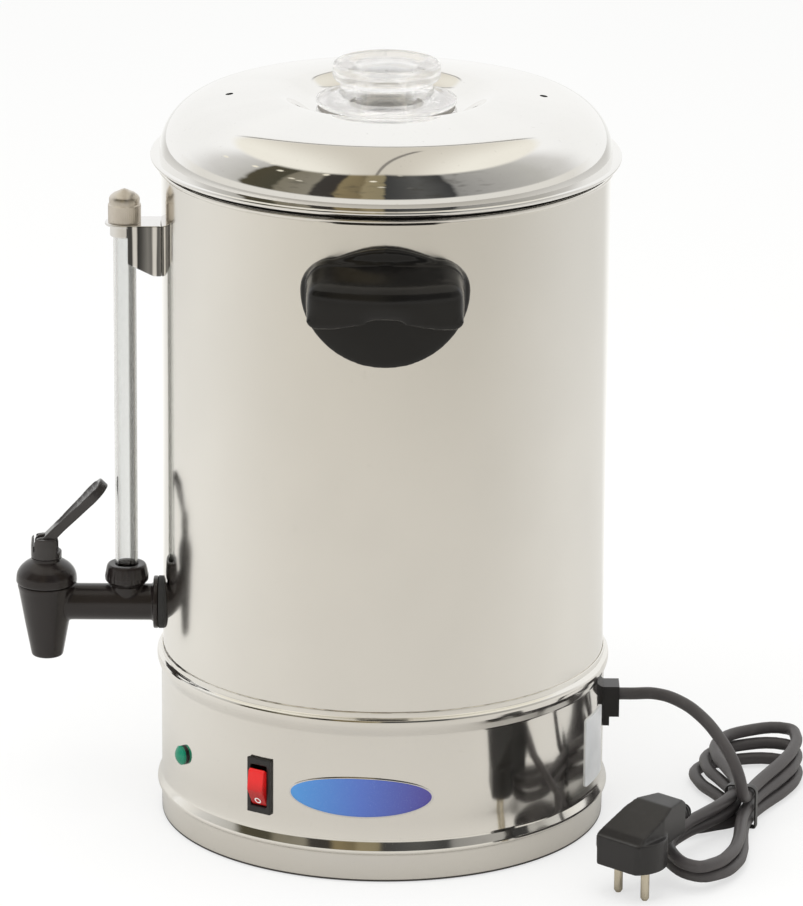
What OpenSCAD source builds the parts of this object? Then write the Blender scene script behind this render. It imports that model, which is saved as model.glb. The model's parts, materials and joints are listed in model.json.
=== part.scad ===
// Percolating coffee urn with a drip-free tap, a sight gauge and a tied mains cord.
// Millimetres. The origin is on the vessel's axis at the surface that it stands on.
// The tap points to -Y, the cord leaves at +Y and the handles are at +X and -X.

/* [Vessel] */
// Outer diameter of the vessel
body_d = 250; // [236:1:270]
// Sheet thickness of the vessel
wall_t = 0.8; // [0.6:0.1:1.2]
// Height of the vessel above the base
body_h = 282.7; // [272:0.1:310]
// Radius of the rolled rim
rim_r = 1.6; // [1.3:0.1:2]
// Thickness of the tank floor
floor_t = 1.2; // [0.8:0.1:1.6]
// Diameter of the pump well in the floor
well_d = 64; // [58:1:70]
// Depth of the pump well
well_depth = 12; // [10:0.5:14]
// Height of the floor's turned-up flange
flange_h = 4.5; // [3:0.5:5]

/* [Base] */
// Height of the base skirt
base_h = 99.4; // [90:0.2:110]
// Sheet thickness of the skirt
skirt_t = 0.8; // [0.6:0.1:1.2]
// Length that the vessel reaches down into the skirt
lap_h = 9; // [6:0.5:11]
// Gap under the skirt that the foot ring leaves
hem_z = 0.6; // [0.4:0.1:3]
// Radius of the pressed beads
bead_r = 8; // [4:0.5:10]
// How far the beads stand proud
bead_out = 2.2; // [1:0.1:2.6]
// Distance of the upper bead below the top of the skirt
bead_drop = 8.5; // [7:0.5:10]
// Height of the lower bead above the hem
bead_lift = 17.4; // [12:0.2:20]
// Thickness of the bottom cover
cover_t = 1.2; // [0.8:0.1:2]
// Width of the skirt's turned-in flange
hem_flange_w = 12; // [9:0.5:14]
// Width of the foot ring
foot_w = 16; // [12:1:20]
// Mean radius of the foot ring
foot_ring_r = 96; // [80:1:100]
// Number of studs that hold the foot ring
foot_n = 4; // [3:1:6]

/* [Lid] */
// How far the lid's hem stands out past the vessel
lid_over = 6; // [3.5:0.25:7.5]
// Sheet thickness of the lid
lid_t = 0.8; // [0.6:0.1:1.2]
// Width of the lid's shoulder
shoulder_w = 32; // [26:1:38]
// Height of the lid's shoulder
shoulder_h = 30.5; // [22:0.5:34]
// Rise of the crown from the shoulder to its ridge
crown_rise = 3.5; // [2:0.1:5]
// Radius of the ridge round the dish
ridge_r = 62; // [54:1:68]
// Depth of the dish below the ridge
dish_depth = 7.7; // [2.5:0.1:9]
// Radius of the flat in the dish
dish_r = 42; // [41:0.5:48]
// Length of the locating ring inside the rim
ring_h = 8; // [5:0.5:12]
// Diameter of a vent hole
vent_d = 4.4; // [3:0.2:6]
// Distance of the vent holes from the axis
vent_r = 87; // [80:1:90]

/* [Knob] */
// Diameter of the knob's top disc
knob_d = 60; // [54:1:66]
// Diameter of the knob's waist
knob_waist_d = 51; // [50:0.5:52]
// Diameter of the knob's flared base
knob_base_d = 78; // [70:1:80]
// Height of the knob above the dish
knob_h = 25; // [22:0.5:30]
// Height of the knob's top disc
knob_disc_h = 9; // [7:0.5:11]
// Wall of the knob
knob_wall = 4; // [3:0.2:4.6]
// Diameter of the knob's spigot
spigot_d = 42; // [38:0.5:44]
// Length of the spigot below the dish
spigot_h = 8; // [7:0.5:10]
// Diameter of the ring nut
ring_nut_d = 56; // [50:1:62]

/* [Handles] */
// Width of a handle's back plate
plate_w = 92; // [84:1:100]
// Height of a handle's back plate
plate_h = 66.5; // [62:0.5:76]
// Thickness of the back plate
plate_t = 6; // [5:0.5:9]
// Distance of the back plate's top below the rim
plate_drop = 17.7; // [14:0.1:40]
// Width of the grip
grip_w = 85; // [76:1:92]
// How far the grip stands out from the vessel
grip_out = 38; // [34:1:46]
// Thickness of the grip's front wall
grip_wall = 8; // [6:0.5:10]
// Height of the grip at its ends
grip_h = 29; // [24:1:32]
// Slope of the grip's top, in degrees
grip_slope = 12; // [8:1:16]
// Diameter of a handle screw
handle_screw_d = 5; // [4:0.5:6]
// Angle of each handle screw from the middle of the handle
handle_screw_a = 10; // [8:0.5:12]

/* [Percolator] */
// Outer diameter of the pump stem
stem_d = 12; // [10:0.5:14]
// Wall of the pump stem
stem_wall = 1; // [0.8:0.1:1.4]
// Height of the stem's top below the dish of the lid
stem_drop = 20; // [14:1:30]
// Diameter of the pump foot
pump_foot_d = 54; // [48:1:57]
// Diameter of the coffee basket
basket_d = 150; // [130:1:180]
// Height of the coffee basket
basket_h = 60; // [50:1:64]
// Wall of the basket
basket_t = 0.8; // [0.6:0.1:1.2]
// Distance of the basket's top below the rim
basket_drop = 24; // [20:1:30]
// Diameter of the basket's holes
sieve_d = 3.2; // [2.4:0.2:4]

/* [Heaters] */
// Radius of the boil heater's ring
boil_r = 52; // [49:0.5:55]
// Diameter of the boil heater's tube
boil_d = 8; // [7:0.5:9]
// Radius of the keep-warm heater's ring
warm_r = 84; // [80:0.5:88]
// Diameter of the keep-warm heater's tube
warm_d = 6.4; // [6:0.2:7]
// Thickness of the clamp dish
clamp_t = 1.6; // [1.2:0.1:2]
// Diameter of the clamp stud
stud_d = 6; // [5:0.5:8]

/* [Tap] */
// Distance of the tap's axis from the vessel's wall
tap_out = 66; // [60:1:74]
// Height of the shank's axis above the tank floor
tap_rise = 21; // [20:0.5:26]
// Diameter of the shank
shank_d = 20.8; // [19:0.2:21]
// Diameter of the shank's bore
shank_bore_d = 12; // [10:0.5:13]
// Diameter of the tap's body
tap_d = 33; // [31:0.5:36]
// Diameter of the spout's outlet
outlet_d = 18; // [17:0.5:20]
// Bore of the spout
spout_bore_d = 13; // [11:0.5:13.5]
// Height of the spout below the shank's axis
spout_h = 32; // [28:1:38]
// Bore of the valve chamber
chamber_d = 24; // [23:0.2:25]
// Diameter of the valve seat
seat_d = 11; // [9:0.5:12]
// Height of the tap's body above the shank's axis
tap_top_h = 11.5; // [11:0.5:13]
// Height of the bonnet's dome
bonnet_h = 15; // [14:0.5:18]
// Diameter of the collar
collar_d = 17.4; // [16.6:0.2:19]
// Height of the collar
collar_h = 12; // [11:0.5:14]
// Diameter of the flange at the vessel
flange_d = 30; // [28:1:34]
// Thickness of the flange
flange_t = 3; // [2.5:0.1:4]
// Thickness of a shank gasket
gasket_t = 2.4; // [2:0.1:3]
// Diameter of the valve stem
valve_stem_d = 6; // [5:0.2:6.4]
// Diameter of the seat cup
cup_d = 16; // [14:0.5:18]
// Lift of the valve
valve_lift = 2.5; // [2:0.1:3]
// Length of the lever
lever_l = 50; // [44:1:60]
// Thickness of the lever
lever_t = 5.6; // [5:0.2:6]
// Width of the lever's paddle
paddle_w = 20; // [16:1:24]
// Angle of the lever above level at rest
lever_a = 46; // [42:1:50]
// Angle that the lever turns through
lever_turn = 50; // [44:1:52]
// Diameter of the lever's pin
lever_pin_d = 3; // [2.4:0.2:3.2]
// Wire of the tap's spring
spring_wire_d = 1.2; // [0.8:0.1:1.4]
// Number of turns in the tap's spring
spring_n = 6; // [4:1:8]

/* [Gauge] */
// Distance of the sight tube's axis from the vessel's wall
gauge_out = 20.5; // [20:0.5:24]
// Outer diameter of the sight tube
tube_d = 12.8; // [12:0.1:14]
// Bore of the sight tube
tube_bore_d = 9.6; // [8:0.2:10]
// Diameter of the gauge nut
gauge_nut_d = 25; // [24:0.5:27]
// Height of the gauge nut
gauge_nut_h = 12; // [10:0.5:18]
// Diameter of the gauge cap
cap_d = 18.4; // [17.6:0.2:20]
// Height of the gauge cap
cap_h = 19; // [16:0.5:22]
// Distance of the bracket's top below the rim
bracket_drop = 38; // [34:1:60]
// Height of the bracket's webs
bracket_h = 29; // [24:1:34]
// Sheet thickness of the bracket
bracket_t = 1.5; // [1.2:0.1:2]
// Width of the bracket
bracket_w = 22; // [21.6:0.2:24]

/* [Controls] */
// Height of the switch and the lamp above the hem
controls_h = 49.4; // [42:0.2:56]
// Angle of the switch round the base
switch_a = -32.4; // [-45:0.2:-28]
// Width of the switch's frame
frame_w = 15; // [14.4:0.2:17]
// Height of the switch's frame
frame_h = 32; // [30:0.5:34]
// Thickness of the switch's frame
frame_t = 2; // [1.6:0.1:2.6]
// Depth of the switch behind the skirt
switch_depth = 20; // [17:0.5:24]
// Width of the rocker
rocker_w = 10; // [9.4:0.2:10.6]
// Height of the rocker
rocker_h = 23; // [21:0.5:24]
// Height of the rocker's ridge above its pivot
rocker_ridge = 8.4; // [6:0.2:9]
// Angle that the rocker turns through
rocker_turn = 20; // [16:1:22]
// Angle of the pilot lamp round the base
lamp_a = -62.4; // [-72:0.2:-58]
// Diameter of the lamp's lens
lens_d = 11; // [9:0.5:13]
// Diameter of the lamp's barrel
barrel_d = 8; // [7:0.2:8.6]
// Angle of the badge round the base
badge_a = -5.5; // [-8:0.5:10]
// Width of the badge
badge_w = 82; // [50:1:84]
// Height of the badge
badge_h = 24; // [16:1:28]
// Angle of the rating plate round the base
rating_a = 72; // [66:1:74]
// Width of the rating plate
rating_w = 30; // [20:1:34]
// Height of the rating plate
rating_h = 40; // [30:1:50]
// Thickness of the badge and the rating plate
badge_t = 0.8; // [0.5:0.1:1.2]

/* [Cord] */
// Diameter of the mains cord
cord_d = 7; // [7:0.1:7.2]
// Height of the cord's exit above the floor
cord_z = 67.5; // [64:0.5:70]
// How far the gland stands out from the base
gland_out = 9; // [8:0.5:10]
// Width of the gland
gland_w = 15; // [14:1:20]
// Height of the gland
gland_h = 18; // [16:1:22]
// Half length of the hank between its folds
hank_half_l = 117; // [112:1:119]
// Height between the hank's layers
hank_rise = 7.7; // [7.6:0.1:7.9]
// Thickness of the tie
tie_t = 1; // [0.8:0.1:1.1]
// Width of the tie
tie_w = 5; // [4:0.5:7]
// Width of the plug's body
plug_w = 39; // [37:0.5:41]
// Height of the plug's body
plug_h = 31; // [29:0.5:33]
// Diameter of a plug pin
pin_d = 4.8; // [4:0.1:5]
// Length of a plug pin
pin_l = 19; // [19:0.1:19.4]
// Distance between the plug's pins
pin_pitch = 19; // [18:0.1:20]

/* [Hidden] */
$fn = 96;

// Clearances
seam = 0.05;       // between pieces that are welded, screwed or pressed together
loose = 0.3;       // between pieces that part
running = 0.05;    // radial, round a turning or sliding pin
cut = 1;           // how far a cutting tool runs past a face

// Radii and levels of the shells
body_r = body_d / 2;
body_ri = body_r - wall_t;
skirt_ri = body_r + seam;
skirt_ro = skirt_ri + skirt_t;
skirt_top = hem_z + base_h;
floor_top = skirt_top;
floor_under = floor_top - floor_t;
well_top = floor_top - well_depth;
well_under = well_top - floor_t;
well_r = well_d / 2;
rim_top = skirt_top + body_h;
rim_z = rim_top - rim_r;
rim_c = body_ri + rim_r + seam;
hem_in_z = hem_z + 3;
cover_top = hem_in_z - seam;
cover_under = cover_top - cover_t;
cover_screw_r = 2;
cover_screw_ring_r = skirt_ri - hem_flange_w / 2;
cover_screw_as = [30, 150, 270];
foot_neck_r = 4;
cover_vent_n = 10;
stud_h = 16;

// Levels of the lid
lid_r = body_r + lid_over;
lid_z = rim_top + loose;
hem_r = 1.5;
hem_flat = 3.5;
shoulder_ro = lid_r - hem_r - hem_flat;
shoulder_c = shoulder_ro - shoulder_w;
shoulder_z = lid_z + hem_r + 1.5;
shoulder_top = shoulder_z + shoulder_h;
ridge_z = shoulder_top + crown_rise;
dish_z = ridge_z - dish_depth;
ring_ro = body_ri - 2 * loose;
spigot_r = spigot_d / 2;
gasket_h = 1.2;

// Handles
plate_top = rim_top - plate_drop;
plate_bottom = plate_top - plate_h;
arch_h = 7;
arch_w = 0.6 * plate_w;
plate_shoulder_z = plate_top - arch_h;
plate_wide_z = plate_bottom + 0.63 * plate_h;
grip_top = plate_shoulder_z - 1;
grip_bottom = grip_top - grip_h;
grip_front = body_r + grip_out;
grip_wave = 5;
grip_corner = 11;
handle_screw_z = grip_top - 9;
handle_screw_r = handle_screw_d / 2;
screw_in = 4.5;
washer_t = 1.4;
washer_r = 6;
washer_in = sqrt(pow(body_ri, 2) - pow(washer_r, 2)) - seam - washer_t;

// Percolator
stem_r = stem_d / 2;
stem_top = dish_z - stem_drop;
basket_r = basket_d / 2;
basket_top = rim_top - basket_drop;
basket_z = basket_top - basket_h;
pump_foot_z = well_top + loose;
pump_foot_top = floor_top + 5;
stem_sleeve_r = stem_r + 2;

// Heaters
boil_a = 120;
warm_a = 200;
leg_spread = 8;
sensor_r = warm_r + 20;
thermostat_a = 250;
thermostat_d = 18;
thermostat_h = 12;
cutout_a = 300;
cutout_d = 15;
cutout_h = 10;

// Tap
tap_y = -(body_r + tap_out);
tap_z = floor_top + tap_rise;
tap_r = tap_d / 2;
tap_top = tap_z + tap_top_h;
spout_z = tap_z - spout_h;
seat_z = tap_z - 15;
seat_lip = 3;
chamber_r = chamber_d / 2;
chamber_deep = 7.2;
bonnet_top = tap_top + bonnet_h;
bonnet_plug_h = 3;
spring_pocket_r = cup_d / 2 - 0.5;
spring_pocket_top = bonnet_top - 7;
collar_r = collar_d / 2;
collar_floor = bonnet_top + 4;
collar_top = bonnet_top + collar_h;
valve_stem_r = valve_stem_d / 2;
cup_z = seat_z + loose;
cup_h = 5;
cup_room = 1.4;
cup_top = cup_z + cup_h;
shank_r = shank_d / 2;
flange_face_y = body_r + gasket_t;
thread_d = shank_d - 1.4;
thread_in = 16;
inner_gasket_y = sqrt(pow(body_ri, 2) - pow(flange_d / 2, 2)) - gasket_t;

// Lever: an eccentric heel lifts the valve stem by its pin
heel_e = valve_lift / (2 * sin(lever_turn / 2));
heel_r = heel_e + 1.1;
pin_z = collar_floor + heel_r - heel_e * sin(lever_turn / 2) + loose;
heel_a = 180 - lever_turn / 2;
tongue_t = 4.4;
tongue_z = collar_floor - valve_lift - 2 * loose;
ear_t = 2.6;
lever_w = tongue_t + 2 * ear_t + 2 * loose;
slot_w = lever_w + 2 * loose;
slot_front = heel_e * cos(lever_turn / 2) + heel_r + loose;

// Gauge
gauge_y = -(body_r + gauge_out);
boss_r = 9.2;
boss_top = tap_z + shank_r + 0.6;
nut_top = boss_top + gauge_nut_h;
bracket_top = rim_top - bracket_drop;
cap_top = bracket_top + cap_h;
tube_r = tube_d / 2;
tube_top = bracket_top + cap_h - 7;
seal_h = 5;
bracket_screw_r = 2;
bracket_screw_zs = [bracket_top - 8, bracket_top - bracket_h + 6];

// Controls
controls_z = hem_z + controls_h;
switch_w = frame_w - 1.6;
switch_h = frame_h - 4;
rocker_pivot = skirt_ro - 2;
rocker_play = loose;
trunnion_r = 1.2;

// Cord, its hank and its plug
cord_r = cord_d / 2;
gland_face = skirt_ro + gland_out;
gland_thread_r = 5.5;
gland_over = gland_thread_r + 1;
hank_at = [34, 204, 0];
hank_a = -17;
hank_lane = cord_r + 0.45;
stub_l = cord_d / 3;
hank_far_left = 60;
hank_near_left = 36;
hank_near_right = 22;
hank_far_right = 20;
hank_first = 0.76;
hank_grow = 0.14;
hank_shrink = 0.05;
hank_tight = 6;
hank_low = cord_r + tie_t + 0.15;
hank_quarters = [2, 12];
hank_angles = [0, 5, 12, 20, 30, 45, 65];
plug_at = hank_at + [109, -66, 0];
plug_a = -42;
plug_boss_l = 36;
plug_boss_z = pin_l + 0.6 * plug_h;
pin_seat = 8;
lead_route = [
    [6, 156, 69.6], [16, 169, 68.6], [28, 180.5, 64], [41, 190, 56.5], [50.5, 197, 47.5], [55, 201, 38.5],
    [53, 203, 30], [48, 204.2, 24]
];
tail_route = [
    [14, -11, 4.7], [27, -23, 6], [41, -31, 13], [55, -33, 23], [68, -28, 32]
];

// Points of an elliptical arc
function arc(cx, cy, rx, ry, a0, a1, n) =
    [for (i = [0 : n]) let (a = a0 + (a1 - a0) * i / n) [cx + rx * cos(a), cy + ry * sin(a)]];

// The points in the other order
function turned(pts) = [for (i = [len(pts) - 1 : -1 : 0]) pts[i]];

// Unit vector
function unit(v) = v / norm(v);

// Direction of a path at one of its points
function heading(path, i) = unit(
    path[min(i + 1, len(path) - 1)] - path[max(i - 1, 0)]
);

// Ring of a tube round a point of its path
function ring(at, dir, r, n) =
    let (side = unit(cross([0, 0, 1], dir)), up = cross(dir, side))
    [for (k = [0 : n - 1]) let (a = 360 * (k + 0.5) / n) at + r * (cos(a) * side + sin(a) * up)];

// Closed tube along a path
module tube(path, r, n) {
    last = len(path) - 1;
    points = [for (i = [0 : last]) each ring(path[i], heading(path, i), r, n)];
    walls = [
        for (i = [0 : last - 1], k = [0 : n - 1])
            let (a = i * n + k, b = i * n + (k + 1) % n)
            each [[a, a + n, b], [b, a + n, b + n]]
    ];
    first_cap = [for (k = [1 : n - 2]) [0, k, k + 1]];
    last_cap = [for (k = [1 : n - 2]) [last * n, last * n + k + 1, last * n + k]];
    polyhedron(points, concat(walls, first_cap, last_cap));
}

// Turns what points along +X to an angle round the axis
module at_angle(a) {
    rotate([0, 0, a])
        children();
}

// Puts a piece that is drawn along +Z on a radius at an angle and a height
module radial(a, z) {
    rotate([0, 0, a])
        translate([0, 0, z])
            rotate([0, 90, 0])
                children();
}

// Ring of rectangular section
module washer(ro, ri, h) {
    difference() {
        cylinder(r = ro, h = h);
        translate([0, 0, -cut])
            cylinder(r = ri, h = h + 2 * cut);
    }
}

// Vessel
module body_shell() {
    color("silver")
        difference() {
            rotate_extrude() {
                translate([body_ri, skirt_top - lap_h])
                    square([wall_t, rim_z - skirt_top + lap_h]);
                translate([rim_c, rim_z])
                    circle(r = rim_r);
            }
            radial(-90, tap_z)
                cylinder(r = thread_d / 2 + loose, h = body_d);
            for (z = bracket_screw_zs)
                radial(-90, z)
                    cylinder(r = bracket_screw_r + loose, h = body_d);
            for (side = [0, 180], a = [-handle_screw_a, handle_screw_a])
                radial(side + a, handle_screw_z)
                    cylinder(r = handle_screw_r + loose, h = body_d);
        }
}

module tank_floor() {
    flange_ro = body_ri - seam;
    flange_ri = flange_ro - floor_t;
    color("lightgray") {
        rotate_extrude()
            polygon([
                [0, well_under], [0, well_top], [well_r, well_top], [well_r, floor_top],
                [flange_ri, floor_top], [flange_ri, floor_top + flange_h],
                [flange_ro, floor_top + flange_h], [flange_ro, floor_under],
                [well_r + floor_t, floor_under], [well_r + floor_t, well_under]
            ]);
        translate([0, 0, well_under - stud_h])
            cylinder(d = stud_d, h = stud_h + floor_t / 2);
    }
}

// Base
module skirt_bead(z) {
    intersection() {
        translate([skirt_ro + bead_out - bead_r, z])
            circle(r = bead_r);
        translate([skirt_ri + skirt_t / 2, z - bead_r])
            square([skirt_t + bead_out, 2 * bead_r]);
    }
}

module base_skirt() {
    color("silver")
        difference() {
            rotate_extrude() {
                translate([skirt_ri, hem_z])
                    square([skirt_t, base_h]);
                skirt_bead(skirt_top - bead_drop);
                skirt_bead(hem_z + bead_lift);
                translate([skirt_ri - hem_flange_w, hem_in_z])
                    square([hem_flange_w + skirt_t / 2, skirt_t]);
            }
            at_angle(switch_a)
                translate([body_r / 2, -switch_w / 2 - loose, controls_z - switch_h / 2 - loose])
                    cube([body_r, switch_w + 2 * loose, switch_h + 2 * loose]);
            radial(lamp_a, controls_z)
                cylinder(r = barrel_d / 2 + loose, h = body_d);
            radial(90, cord_z)
                cylinder(r = gland_thread_r + loose, h = body_d);
            for (a = cover_screw_as)
                rotate([0, 0, a])
                    translate([cover_screw_ring_r, 0, 0])
                        cylinder(r = cover_screw_r - seam, h = hem_in_z + 2 * skirt_t);
        }
}

module bottom_cover() {
    color("dimgray")
        difference() {
            translate([0, 0, cover_under])
                cylinder(r = skirt_ri - seam, h = cover_t);
            for (a = cover_screw_as)
                rotate([0, 0, a])
                    translate([cover_screw_ring_r, 0, 0])
                        cylinder(r = cover_screw_r + loose, h = cover_top + cut);
            for (i = [0 : foot_n - 1])
                rotate([0, 0, 45 + i * 360 / foot_n])
                    translate([foot_ring_r, 0, 0])
                        cylinder(r = foot_neck_r + seam, h = cover_top + cut);
            for (i = [0 : cover_vent_n - 1], r = [30, 48])
                rotate([0, 0, i * 360 / cover_vent_n])
                    translate([r, 0, 0])
                        cylinder(r = 3, h = cover_top + cut);
        }
}

module foot_ring() {
    stud_h = 4;
    barb = 1.5;
    color("black") {
        rotate_extrude()
            polygon([
                [foot_ring_r - foot_w / 2 + 1.5, 0], [foot_ring_r + foot_w / 2 - 1.5, 0],
                [foot_ring_r + foot_w / 2, cover_under - seam],
                [foot_ring_r - foot_w / 2, cover_under - seam]
            ]);
        for (i = [0 : foot_n - 1])
            rotate([0, 0, 45 + i * 360 / foot_n])
                translate([foot_ring_r, 0, cover_under / 2])
                    rotate_extrude()
                        polygon([
                            [0, 0], [foot_neck_r, 0],
                            [foot_neck_r, cover_top + seam - cover_under / 2],
                            [foot_neck_r + barb, cover_top + seam - cover_under / 2],
                            [foot_neck_r - 1, cover_top + stud_h - cover_under / 2],
                            [0, cover_top + stud_h - cover_under / 2]
                        ]);
    }
}

module cover_screws() {
    color("gray")
        for (a = cover_screw_as)
            rotate([0, 0, a])
                translate([cover_screw_ring_r, 0, 0]) {
                    translate([0, 0, cover_under - seam - 1.5])
                        cylinder(r = 2 * cover_screw_r, h = 1.5);
                    translate([0, 0, cover_under - seam - 0.5])
                        cylinder(r = cover_screw_r - 2 * seam, h = 9);
                }
}

// Lid
function lid_top_line() = concat(
    [[shoulder_ro, lid_z + hem_r]],
    arc(shoulder_c, shoulder_z, shoulder_w, shoulder_h, 0, 90, 14),
    arc(ridge_r, shoulder_top, shoulder_c - ridge_r, crown_rise, 30, 90, 5),
    arc(ridge_r - 3, ridge_z - 1, 2, 0.7, 90, 150, 2),
    [[dish_r, dish_z], [spigot_r + loose, dish_z]]
);

function lid_under_line() = concat(
    [[shoulder_ro - lid_t, lid_z + hem_r]],
    arc(shoulder_c, shoulder_z, shoulder_w - lid_t, shoulder_h - lid_t, 0, 90, 14),
    arc(ridge_r, shoulder_top - lid_t, shoulder_c - ridge_r, crown_rise, 30, 90, 5),
    arc(ridge_r - 3, ridge_z - lid_t - 1, 2, 0.7, 90, 150, 2),
    [[dish_r - lid_t / 2, dish_z - lid_t], [spigot_r + loose, dish_z - lid_t]]
);

// Level of the lid's under side above a radius on its shoulder
function shoulder_under(r) = shoulder_z
    + (shoulder_h - lid_t) * sqrt(1 - pow((r - shoulder_c) / (shoulder_w - lid_t), 2));

module lid() {
    color("silver")
        difference() {
            rotate_extrude() {
                polygon(concat(lid_top_line(), turned(lid_under_line())));
                translate([lid_r - hem_r, lid_z + hem_r])
                    circle(r = hem_r);
                translate([shoulder_ro - lid_t, lid_z + hem_r / 2])
                    square([lid_r - hem_r - shoulder_ro + lid_t, hem_r]);
                translate([ring_ro - lid_t, rim_top - ring_h])
                    square([lid_t, shoulder_under(ring_ro) - rim_top + ring_h + lid_t / 4]);
            }
            for (side = [-1, 1])
                translate([0, side * vent_r, dish_z])
                    cylinder(d = vent_d, h = 2 * shoulder_h, center = true);
        }
}

module lid_knob() {
    base_z = dish_z + gasket_h + seam;
    base_h = 3;
    top_z = dish_z + knob_h;
    disc_z = top_z - knob_disc_h;
    waist_r = knob_waist_d / 2;
    base_r = knob_base_d / 2;
    disc_r = knob_d / 2;
    flare_h = disc_z - 3 - base_z - base_h;
    round_r = 3;
    color("white", 0.4)
        rotate_extrude()
            polygon(concat(
                [[spigot_r - knob_wall, dish_z - spigot_h], [spigot_r, dish_z - spigot_h]],
                [[spigot_r, base_z], [base_r - 1, base_z], [base_r, base_z + 1]],
                arc(base_r, base_z + base_h + flare_h, base_r - waist_r, flare_h, 270, 180, 8),
                arc(disc_r - round_r, disc_z, round_r, round_r, -40, 0, 3),
                arc(disc_r - round_r, top_z - round_r, round_r, round_r, 0, 90, 4),
                [[disc_r - 9, top_z], [disc_r - 12, top_z - 1.5], [0, top_z - 1.5]],
                [[0, top_z - 1.5 - knob_wall], [waist_r - knob_wall - 2, top_z - 1.5 - knob_wall]],
                [[spigot_r - knob_wall, disc_z - 4]]
            ));
}

module knob_gasket() {
    color("gainsboro")
        translate([0, 0, dish_z + seam / 2])
            washer(dish_r - 4, spigot_r + seam, gasket_h);
}

module knob_ring_nut() {
    nut_h = spigot_h - lid_t - 1;
    color("gainsboro")
        difference() {
            translate([0, 0, dish_z - lid_t - seam - nut_h])
                washer(ring_nut_d / 2, spigot_r + seam, nut_h);
            for (i = [0 : 11])
                rotate([0, 0, i * 30])
                    translate([ring_nut_d / 2, 0, dish_z - lid_t - 2 * spigot_h])
                        cylinder(r = 2.4, h = 2 * spigot_h - nut_h / 3);
        }
}

// Handles
function plate_outline() = concat(
    arc(0, plate_wide_z, plate_w / 2, plate_wide_z - plate_bottom, 180, 360, 24),
    arc(arch_w / 2, plate_wide_z, (plate_w - arch_w) / 2, plate_shoulder_z - plate_wide_z, 15, 90, 5),
    [for (i = [7 : -1 : -7]) [arch_w / 2 * i / 8, plate_shoulder_z + arch_h * cos(90 * i / 8)]],
    arc(-arch_w / 2, plate_wide_z, (plate_w - arch_w) / 2, plate_shoulder_z - plate_wide_z, 90, 165, 5)
);

function grip_outline(w, top, bottom, wave, corner) = concat(
    [for (i = [-6 : 6]) [(w / 2 - corner / 2) * i / 6, bottom + wave / 2 * (1 + cos(30 * i))]],
    arc(w / 2 - corner / 2, bottom + corner / 2, corner / 2, corner / 2, -60, 0, 3),
    arc(w / 2 - corner, top - corner, corner, corner, 0, 90, 5),
    arc(-w / 2 + corner, top - corner, corner, corner, 90, 180, 5),
    arc(-w / 2 + corner / 2, bottom + corner / 2, corner / 2, corner / 2, 180, 240, 3)
);

// Extrudes an outline of Y and Z along X
module along_x(x0, x1) {
    translate([x0, 0, 0])
        rotate([90, 0, 90])
            linear_extrude(x1 - x0)
                children();
}

// Column that bounds the grip's curved front, inset by a wall
module grip_front_column(inset) {
    front_r = body_r + 10;
    translate([grip_front - front_r, 0, plate_bottom - cut])
        cylinder(r = front_r - inset, h = plate_h + 2 * cut);
}

// Wedge over the grip's sloping top, sunk by a wall
module grip_top_wedge(sink) {
    translate([body_r + plate_t, -plate_w, grip_top - sink])
        rotate([0, grip_slope, 0])
            translate([-plate_t, 0, 0])
                cube([2 * grip_out, 2 * plate_w, plate_h]);
}

module handle() {
    difference() {
        union() {
            intersection() {
                along_x(body_r / 2, body_r + 2 * plate_t)
                    polygon(plate_outline());
                translate([0, 0, plate_bottom - cut])
                    cylinder(r = body_r + plate_t, h = plate_h + 2 * cut);
            }
            difference() {
                intersection() {
                    along_x(body_r, grip_front + cut)
                        polygon(grip_outline(grip_w, grip_top, grip_bottom, grip_wave, grip_corner));
                    grip_front_column(0);
                }
                grip_top_wedge(0);
                difference() {
                    intersection() {
                        along_x(body_r, grip_front)
                            translate([-grip_w / 2 + grip_wall, grip_bottom - plate_h])
                                square([grip_w - 2 * grip_wall, plate_h + grip_h - grip_wall]);
                        grip_front_column(grip_wall);
                    }
                    grip_top_wedge(grip_wall);
                }
            }
        }
        cylinder(r = body_r + seam, h = rim_top);
        for (a = [-handle_screw_a, handle_screw_a])
            radial(a, handle_screw_z)
                cylinder(r = handle_screw_r + seam, h = body_r + screw_in + loose);
    }
}

module handle_right() {
    color("#2b2927")
        handle();
}

module handle_left() {
    color("#2b2927")
        rotate([0, 0, 180])
            handle();
}

module handle_screws() {
    head_h = 2.6;
    color("gray")
        for (side = [0, 180], a = [-handle_screw_a, handle_screw_a])
            radial(side + a, handle_screw_z) {
                translate([0, 0, washer_in - head_h - seam])
                    cylinder(r = handle_screw_r * 1.8, h = head_h);
                translate([0, 0, washer_in - head_h / 2])
                    cylinder(r = handle_screw_r, h = body_r + screw_in - washer_in + head_h / 2);
            }
}

module handle_washers() {
    color("darkred")
        for (side = [0, 180], a = [-handle_screw_a, handle_screw_a])
            radial(side + a, handle_screw_z)
                translate([0, 0, washer_in])
                    washer(washer_r, handle_screw_r + seam, washer_t);
}

// Percolator
module pump_stem() {
    color("lightgray")
        difference() {
            union() {
                translate([0, 0, pump_foot_top - 8])
                    cylinder(r = stem_r, h = stem_top - pump_foot_top + 8);
                translate([0, 0, basket_z - seam - 3])
                    cylinder(r = stem_sleeve_r + 2, h = 3);
            }
            translate([0, 0, well_top])
                cylinder(r = stem_r - stem_wall, h = stem_top);
        }
}

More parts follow.
